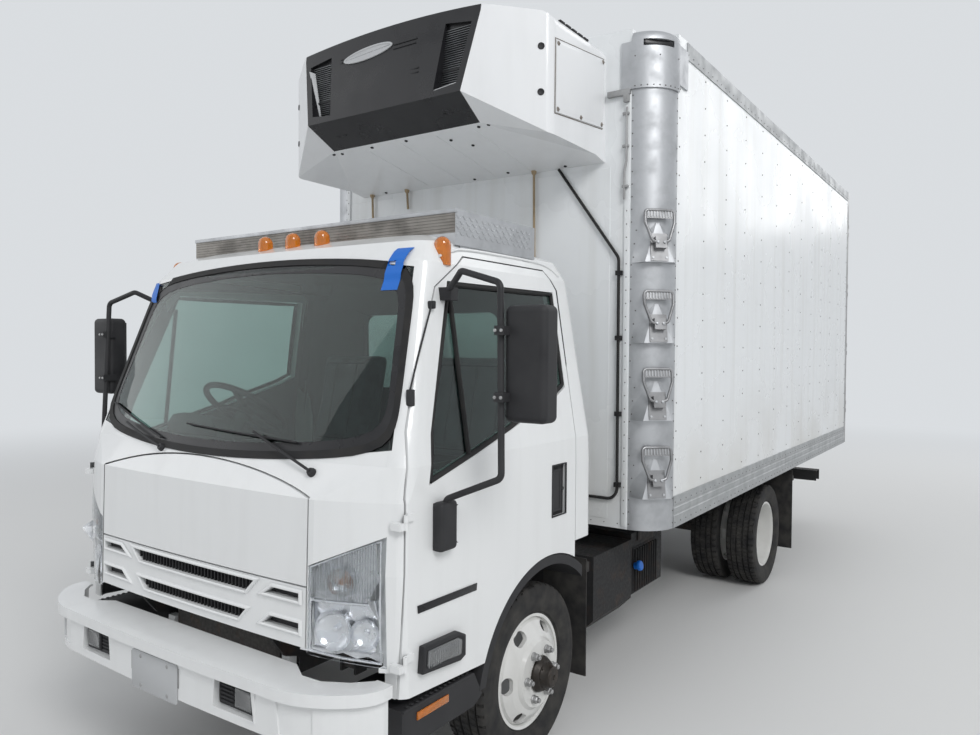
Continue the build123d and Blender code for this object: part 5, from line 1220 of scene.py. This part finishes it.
pockets.append(block(at(0.447, -1.254, 0.577), at(0.553, -1.244, 0.660), 0.004))
put("pocket_insets", both_sides(rounded(joined(*pockets), 0.0012)), BLACK_PLASTIC)
lamp = inset(block(at(0.455, -1.258, 0.585), at(0.545, -1.2535, 0.652), 0.003), (0, -1, 0), (0.006, -0.0015))
put("pocket_lamps", both_sides(lamp), CLEAR_LENS)

# Grille: a raised lip round every opening. Its section gives distances out from the edge and forward.

LIP = (
    (0.013, 0.0005), (0.0115, 0.0045), (0.008, 0.0085), (0.003, 0.009), (0.0, 0.006), (-0.001, -0.010),
    (0.0, -0.010), (0.004, 0.0006),
)


def offset_corners(corners, distance):
    """A convex outline in (x, z) drawn outwards, going anticlockwise."""
    made = []
    for i, corner in enumerate(corners):
        before = Vector(corner) - Vector(corners[i - 1])
        after = Vector(corners[(i + 1) % len(corners)]) - Vector(corner)
        one = Vector((before.y, -before.x)).normalized()
        two = Vector((after.y, -after.x)).normalized()
        made.append(Vector(corner) + (one + two) * distance / (1 + one.dot(two)))
    return made


def lip(corners, steps):
    """The lip's section swept round an opening in the grille."""
    rings = []
    for out, forward in LIP:
        spots = offset_corners(corners, out)
        line = []
        for i, spot in enumerate(spots):
            after = spots[(i + 1) % len(spots)]
            for step in range(steps[i % 2]):
                x, z = spot.lerp(after, step / steps[i % 2])
                line.append(at(x, -1.1348 + 0.031 * x * x - forward, z))
        rings.append(line)
    pick()
    bpy.ops.mesh.primitive_torus_add(major_segments=len(rings[0]), minor_segments=len(LIP))
    piece = bpy.context.object
    for number, vertex in enumerate(piece.data.vertices):
        vertex.co = rings[number % len(LIP)][number // len(LIP)]
    return rounded(tidy_mesh(piece), 0, smooth=30)


lips = [lip(outline, (12, 2)) for outline in SLOTS]
lips += [both_sides(lip(outline, (5, 2))) for outline in SIDE_SLOTS]
put("grille_lips", joined(*lips), CAB_WHITE, "cab")


# Cab interior: trim, dash, seats

CABIN = at(0, -0.3, 1.6)


def lining(node, keep):
    """A thin lining over those inner faces of a node that pass a test."""
    return faces_of(node, keep, 0.0014, 1)


def on_cab_side(place, normal):
    return abs(place.x) < 0.935 and (CABIN - place).dot(normal) > 0.02 and normal.z > -0.98


def on_ceiling(place, normal):
    return abs(place.x) < 0.935 and normal.z < -0.97 and place.z > 2.1


put("cab_lining", lining("cab_shell", on_cab_side), TRIM_GREY, "cab")
put("cab_ceiling", lining("cab_shell", on_ceiling), PALE_TRIM, "cab")
door_trim = lining("door_left", lambda place, normal: normal.x < -0.5 and place.x > 0.85)
on_both_doors("door_lining", door_trim, TRIM_GREY)
rest = block(at(0.892, -0.430, 1.285), at(0.951, 0.060, 1.335), 0.012, 3)
pull = [(0.948, -0.40, 1.20), (0.915, -0.40, 1.21), (0.915, -0.24, 1.21), (0.948, -0.24, 1.20)]
pull = tube([at(*spot) for spot in pull], 0.011)
SPEAKER = [(0, 0.078), (0.006, 0.076), (0.008, 0.068), (0.003, 0.062), (0.006, 0.03)]
speaker = stud(at(0.9505, -0.60, 1.05), (-1, 0, 0), SPEAKER, 32)
on_both_doors("door_armrest", joined(rest, pull, speaker), DASH_PLASTIC)


def on_dash(x, z):
    place, _ = skin(["dash"], at(x, 0.2, z), (0, -1, 0))
    return place


parts = []
for x in (-0.80, -0.10, 0.10, 0.80):
    place = on_dash(x, 1.36)
    parts.append(block_on(place, (-0.062, -0.002, -0.030), (0.062, 0.012, 0.030), 0.005))
    for up in [number * 0.0133 - 0.020 for number in range(4)]:
        parts.append(block_on(place, (-0.054, 0.011, up - 0.002), (0.054, 0.018, up + 0.002), 0))
place = on_dash(0.0, 1.25)
parts.append(block_on(place, (-0.13, -0.004, -0.045), (0.13, 0.010, 0.040), 0.004))
for x in (-0.09, 0.0, 0.09):
    dial = [(0, 0.022), (0.016, 0.019), (0.018, 0.016)]
    parts.append(stud(Vector((x, place.y + 0.009, place.z)), (0, 1, 0), dial, 20))
place = on_dash(0.50, 1.26)
parts.append(block_on(place, (-0.20, -0.004, -0.060), (0.20, 0.006, 0.050), 0.006))
parts.append(block_on(place, (-0.035, 0.004, 0.010), (0.035, 0.011, 0.030), 0.003))
put("dash_details", joined(*parts), BLACK_PLASTIC, "cab")
HOOD = (
    (-1, 0), (1, 0), (0.96, 0.05), (0.75, 0.088), (0.3, 0.10), (-0.3, 0.10), (-0.75, 0.088), (-0.96, 0.05),
)
hood = slab(facing(-0.845, [(-0.41 + 0.19 * x, 1.462 + z) for x, z in HOOD]), (0, 0.085, -0.020))
inset(hood, (0, 1, 0), (0.010, 0), (0.004, -0.035))
put("dash_cluster", rounded(hood, 0.005, 2), DASH_PLASTIC, "cab")
dials = []
for x, size in ((-0.49, 0.036), (-0.41, 0.040), (-0.33, 0.036)):
    ring = [(0, size), (0.004, size), (0.006, size - 0.003), (0.002, size - 0.006), (0.001, 0)]
    dials.append(stud(at(x, -0.796, 1.492), (0, 1, 0.05), ring, 28))
put("dash_dials", joined(*dials), PALE_GREY, "cab")

# How far a pad may swell
PAD_GIVE = 0.022
# The two seats: their ends across the cab and the lanes that their sewn lines part
SEATS = {"driver": (-0.66, -0.20, 3), "bench": (0.04, 0.78, 5)}
CUSHION = ((-0.395, 1.172), (0.070, 1.172), (0.075, 1.245), (-0.37, 1.245), (-0.402, 1.225))
BACK = ((0.098, 1.300), (0.205, 1.300), (0.295, 1.83), (0.215, 1.838))
DOWN, BACKWARDS = Vector((0, 0, -1)), Vector((0, 1, 0))


def stuffed(piece, cap):
    """Swell a closed form as air under cloth would, no point moving further than the cap."""
    modified(piece, "REMESH", mode="VOXEL", voxel_size=0.0095)
    before = [vertex.co.copy() for vertex in piece.data.vertices]
    settings = piece.modifiers.new("cloth", "CLOTH").settings
    settings.use_pressure = True
    settings.uniform_pressure_force = 4
    settings.effector_weights.gravity = 0
    for number in range(1, 21):
        bpy.context.scene.frame_set(number)
    pick(piece)
    bpy.ops.object.modifier_apply(modifier="cloth")
    for vertex, was in zip(piece.data.vertices, before):
        moved = vertex.co - was
        if moved.length > cap:
            vertex.co = was + moved * (cap / moved.length)
    bpy.context.scene.frame_set(1)
    modified(piece, "SUBSURF", levels=1, render_levels=1)
    return rounded(piece, 0, smooth=60)


def seat_pad(x0, x1, outline, name):
    """A seat's cushion or back from an outline in (y, z), with a raised middle."""
    piece = slab(beside(x0, outline), (x1 - x0, 0, 0))
    choose(piece, lambda place, normal: normal.z > 0.7 or normal.y < -0.7)
    bpy.ops.mesh.inset(thickness=0.06, depth=0.006, use_boundary=True)
    pick(piece)
    rounded(piece, 0.028, 4)
    put(name, stuffed(piece, PAD_GIVE), SEAT_CLOTH, "cab")
    return piece


def sewn(piece, points, way):
    """A sewn line over a pad, where lines from these places meet it."""
    met = [piece.ray_cast(point, way) for point in points]
    return tube([place + normal * 0.0005 for hit, place, normal, _ in met if hit], 0.0022, 1)


seams = []
pads = []
for name, (x0, x1, lanes) in SEATS.items():
    cushion = seat_pad(x0, x1, CUSHION, f"{name}_cushion")
    back = seat_pad(x0, x1, BACK, f"{name}_back")
    pads += [cushion, back]
    for x in steps_of(x0, x1, lanes + 1)[1:-1]:
        seams.append(sewn(cushion, beside(x, [(-0.36 + 0.03 * i, 1.5) for i in range(14)]), DOWN))
        seams.append(sewn(back, beside(x, [(-0.3, 1.36 + 0.035 * i) for i in range(13)]), BACKWARDS))
    width = steps_of(x0 + 0.04, x1 - 0.04, 13)
    seams += [sewn(back, facing(-0.3, [(x, z) for x in width]), BACKWARDS) for z in (1.36, 1.78)]
    seams.append(sewn(cushion, facing(-0.33, [(x, 1.5) for x in width]), DOWN))
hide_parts("seats")
put("seat_seams", joined(*seams), SEAL, "cab")
bases = [
    block(at(x0 + 0.02, -0.38, 1.1205), at(x1 - 0.02, 0.06, 1.168), 0.006) for x0, x1, _ in SEATS.values()
]
put("seat_bases", joined(*bases), BLACK_PLASTIC, "cab")


# Tanks and springs

cap = [(-0.01, 0.020), (0.014, 0.020), (0.014, 0.030), (0.030, 0.029), (0.034, 0.024)]
cap = stud(at(0.902, 1.21, 0.60), (1, 0, 0.25), cap, 14, smooth=False)
put("fluid_cap", rounded(cap, 0.001), BLUE_TAPE)
BATTERY_SIDE = 0.8802
fins = [
    block(at(0.8805, 1.215 + 0.034 * i, 0.445), at(0.8985, 1.223 + 0.034 * i, 0.695), 0.001, 1)
    for i in range(10)
]
fins.append(block(at(BATTERY_SIDE, 1.20, 0.435), at(0.884, 1.545, 0.705), 0.002))
fins += [block(at(BATTERY_SIDE, y, 0.735), at(0.890, y + 0.05, 0.790), 0.003) for y in (1.26, 1.52)]
put("battery_fins", joined(*fins), FRAME_BLACK)
STRAP = [(0, 0.2335), (0, 0.2375), (0.045, 0.2375), (0.045, 0.2335)]
straps = [turned(at(-0.66, y, 0.56), (0, 1, 0), STRAP, 56) for y in (1.35, 1.95)]
filler = [(-0.03, 0.032), (0.012, 0.032), (0.012, 0.042), (0.032, 0.040), (0.034, 0.03)]
filler = stud(at(-0.86, 1.15, 0.70), (-1, 0, 0.6), filler, 18, smooth=False)
put("fuel_straps", joined(*straps, rounded(filler, 0.001)), ZINC_STEEL)
bolts = [
    tube([at(x + dx, y + dy, 0.40), at(x + dx, y + dy, 0.575)], 0.008, 2, smooth=False)
    for x in (-0.39, 0.39) for y in (0, WHEELBASE) for dy in (-0.055, 0.055) for dx in (-0.042, 0.042)
]
put("spring_bolts", joined(*bolts), SPRING_STEEL)

# Rear: door seals, handles, lamps, rivets and the step's grips

REAR_FACE = 5.868
REAR_FRAME = 5.9085


def on_rear(x, z, low, high, width):
    """A block on the rear doors, its corners given from a place in (x, z)."""
    return block_on(at(x, REAR_FACE, z), low, high, width)


seals = []
for draw, lift, radius in ((0, 0.003, 0.007), (0.03, 0.002, 0.002)):
    low_x, high_x, low_z, high_z = 0.012 + draw, 1.135 - draw, 1.105 + draw, 3.370 - draw
    edge = facing(REAR_FACE + lift, ((low_x, low_z), (high_x, low_z), (high_x, high_z), (low_x, high_z)))
    seals.append(looped(edge, radius, 1))
put_pair("rear_seal", joined(*seals), SEAL, "cargo_door")
parts = []
for x in (0.15, 0.70):
    parts.append(on_rear(x, 1.85, (-0.030, 0.0005, 0), (0.030, 0.012, 0.12), 0.004))
    for z in (1.30, 2.60, 3.05):
        parts.append(on_rear(x, z, (-0.045, 0.0005, 0), (0.045, 0.006, 0.05), 0.003))
        for dx in (-0.034, 0.034):
            place = at(x + dx, REAR_FACE + 0.006, z + 0.025)
            parts.append(stud(place, (0, 1, 0), FOOT_BOLT, 10, smooth=False))
    grip = ((0.004, 0.030, 1.90), (0.02, 0.034, 1.90), (0.11, 0.034, 1.905), (0.22, 0.032, 1.905))
    parts.append(tube([at(x + dx, REAR_FACE + lift, z) for dx, lift, z in grip], 0.008, 2))
    parts.append(on_rear(x, 1.875, (0.185, 0.0005, 0), (0.235, 0.022, 0.06), 0.004))
put_pair("rear_handles", joined(*parts), ZINC_STEEL, "cargo_door")
RIM = [(0, 0.036), (0, 0.046), (0.004, 0.046), (0.004, 0.038)]
rims = [rounded(turned(at(x, 6.004, 0.525), (0, 1, 0), RIM, 32), 0.0008) for x in (0.70, 0.86)]
put("tail_lamp_rims", both_sides(*rims), SEAL)
# Each line of rivets: where it starts and ends in (x, z), and its count
REAR_RIVETS = (
    ((1.185, 1.00), (1.185, 3.45), 34), ((0.03, 3.50), (1.15, 3.50), 16), ((0.03, 0.96), (1.15, 0.96), 16),
)
rivets = [rivet_line(*facing(REAR_FRAME, ends), (0, 1, 0), count) for *ends, count in REAR_RIVETS]
put("rear_rivets", both_sides(*rivets), ZINC_STEEL)
lamps = []
for x in (0.0, 0.16, -0.16, 1.08, -1.08):
    outline = rounded_outline(x - 0.045, 3.425, x + 0.045, 3.458, 0.012)
    lamps.append(rounded(slab(facing(5.908, outline), (0, 0.0005, 0)), 0))
put("rear_clearance_lamps", joined(*lamps), RED_LENS)
grips = [
    block(at(x - 0.012, 5.875, 0.5795), at(x + 0.012, 5.99, 0.5815), 0)
    for x in [side * (0.10 + number * 0.037) for number in range(22) for side in (-1, 1)]
]
put("rear_step_grips", joined(*grips), FRAME_BLACK)


# Camera, light and floor

BACKDROP = (0.70, 0.725, 0.75)


def add_camera():
    """The photo's own viewpoint, solved from points on the truck."""
    yaw, pitch, roll = 0.6048, 0.0229, 0.0072
    forward = Vector((-math.sin(yaw) * math.cos(pitch), math.cos(yaw) * math.cos(pitch), -math.sin(pitch)))
    right = forward.cross(Vector((0, 0, 1))).normalized()
    up = right.cross(forward)
    level_right = right * math.cos(roll) + up * math.sin(roll)
    level_up = up * math.cos(roll) - right * math.sin(roll)
    data = bpy.data.cameras.new("camera")
    data.sensor_width = 36
    data.lens = 28.17
    camera = bpy.data.objects.new("camera", data)
    turn = Matrix((level_right, level_up, -forward)).transposed().to_4x4()
    camera.matrix_world = Matrix.Translation(at(2.7354, -2.9714, 1.8628)) @ turn
    bpy.context.scene.collection.objects.link(camera)
    bpy.context.scene.camera = camera


def add_light(name, place, target, size, power):
    data = bpy.data.lights.new(name, "AREA")
    data.energy = power
    data.size = size
    lamp = bpy.data.objects.new(name, data)
    lamp.location = place
    lamp.rotation_euler = (Vector(target) - Vector(place)).to_track_quat("-Z", "Y").to_euler()
    bpy.context.scene.collection.objects.link(lamp)


def seen_rays(made):
    """One for camera, mirror and see-through rays, and nothing for the rays that light the object."""
    path = made.node("LightPath", {}).outputs
    first = made.math(path["Is Camera Ray"], path["Is Glossy Ray"], "MAXIMUM")
    return made.math(first, path["Is Transmission Ray"], "MAXIMUM")


def add_floor():
    """A pale floor that fades into the backdrop's colour far from the truck."""
    bpy.ops.object.select_all(action="DESELECT")
    bpy.ops.mesh.primitive_plane_add(size=400, location=(0, 0, 0))
    floor = bpy.context.object
    floor.name = "floor"
    made = new_finish("floor")
    made.shade(Base_Color=(0.74, 0.74, 0.73), Roughness=0.9)
    far = made.node("VectorMath", {0: made.place()}, operation="LENGTH")
    fade = {"From Min": 5, "From Max": 17, "Value": far.outputs["Value"]}
    span = made.node("MapRange", fade, interpolation_type="SMOOTHSTEP").outputs["Result"]
    glow = made.node("Emission", {"Color": BACKDROP})
    fac = made.math(span, seen_rays(made))
    blend = made.node("MixShader", {0: fac, 1: made.shader.outputs[0], 2: glow.outputs[0]})
    made.feed(made.tree.nodes["Material Output"].inputs["Surface"], blend.outputs[0])
    floor.data.materials.append(made.owner)
    floor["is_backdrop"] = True


def light_world():
    """A pale sky that lights the truck, a plain backdrop behind it and three lamps."""
    world = bpy.data.worlds.new("world")
    bpy.context.scene.world = world
    made = Finish(world)
    sky = made.tree.nodes["Background"]
    made.feed(sky.inputs["Color"], (0.93, 0.96, 1.0))
    made.feed(sky.inputs["Strength"], 0.52)
    backdrop = made.node("Background", {"Color": BACKDROP, "Strength": 1.0})
    blend = made.node("MixShader", {0: seen_rays(made), 1: sky.outputs[0], 2: backdrop.outputs[0]})
    made.feed(made.tree.nodes["World Output"].inputs["Surface"], blend.outputs[0])
    add_light("key", (10, -8, 10), (0, -1, 1.4), 5, 900)
    add_light("fill", (-8, -8, 5), (0, -1, 1.5), 8, 160)
    add_light("back", (3, 11, 8), (0, 1, 1.5), 8, 300)


add_camera()
light_world()
add_floor()

bpy.context.scene.view_settings.view_transform = "Standard"
low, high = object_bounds()
{"cad": [list(cad_low), list(cad_high)], "visual": [list(low), list(high)]}
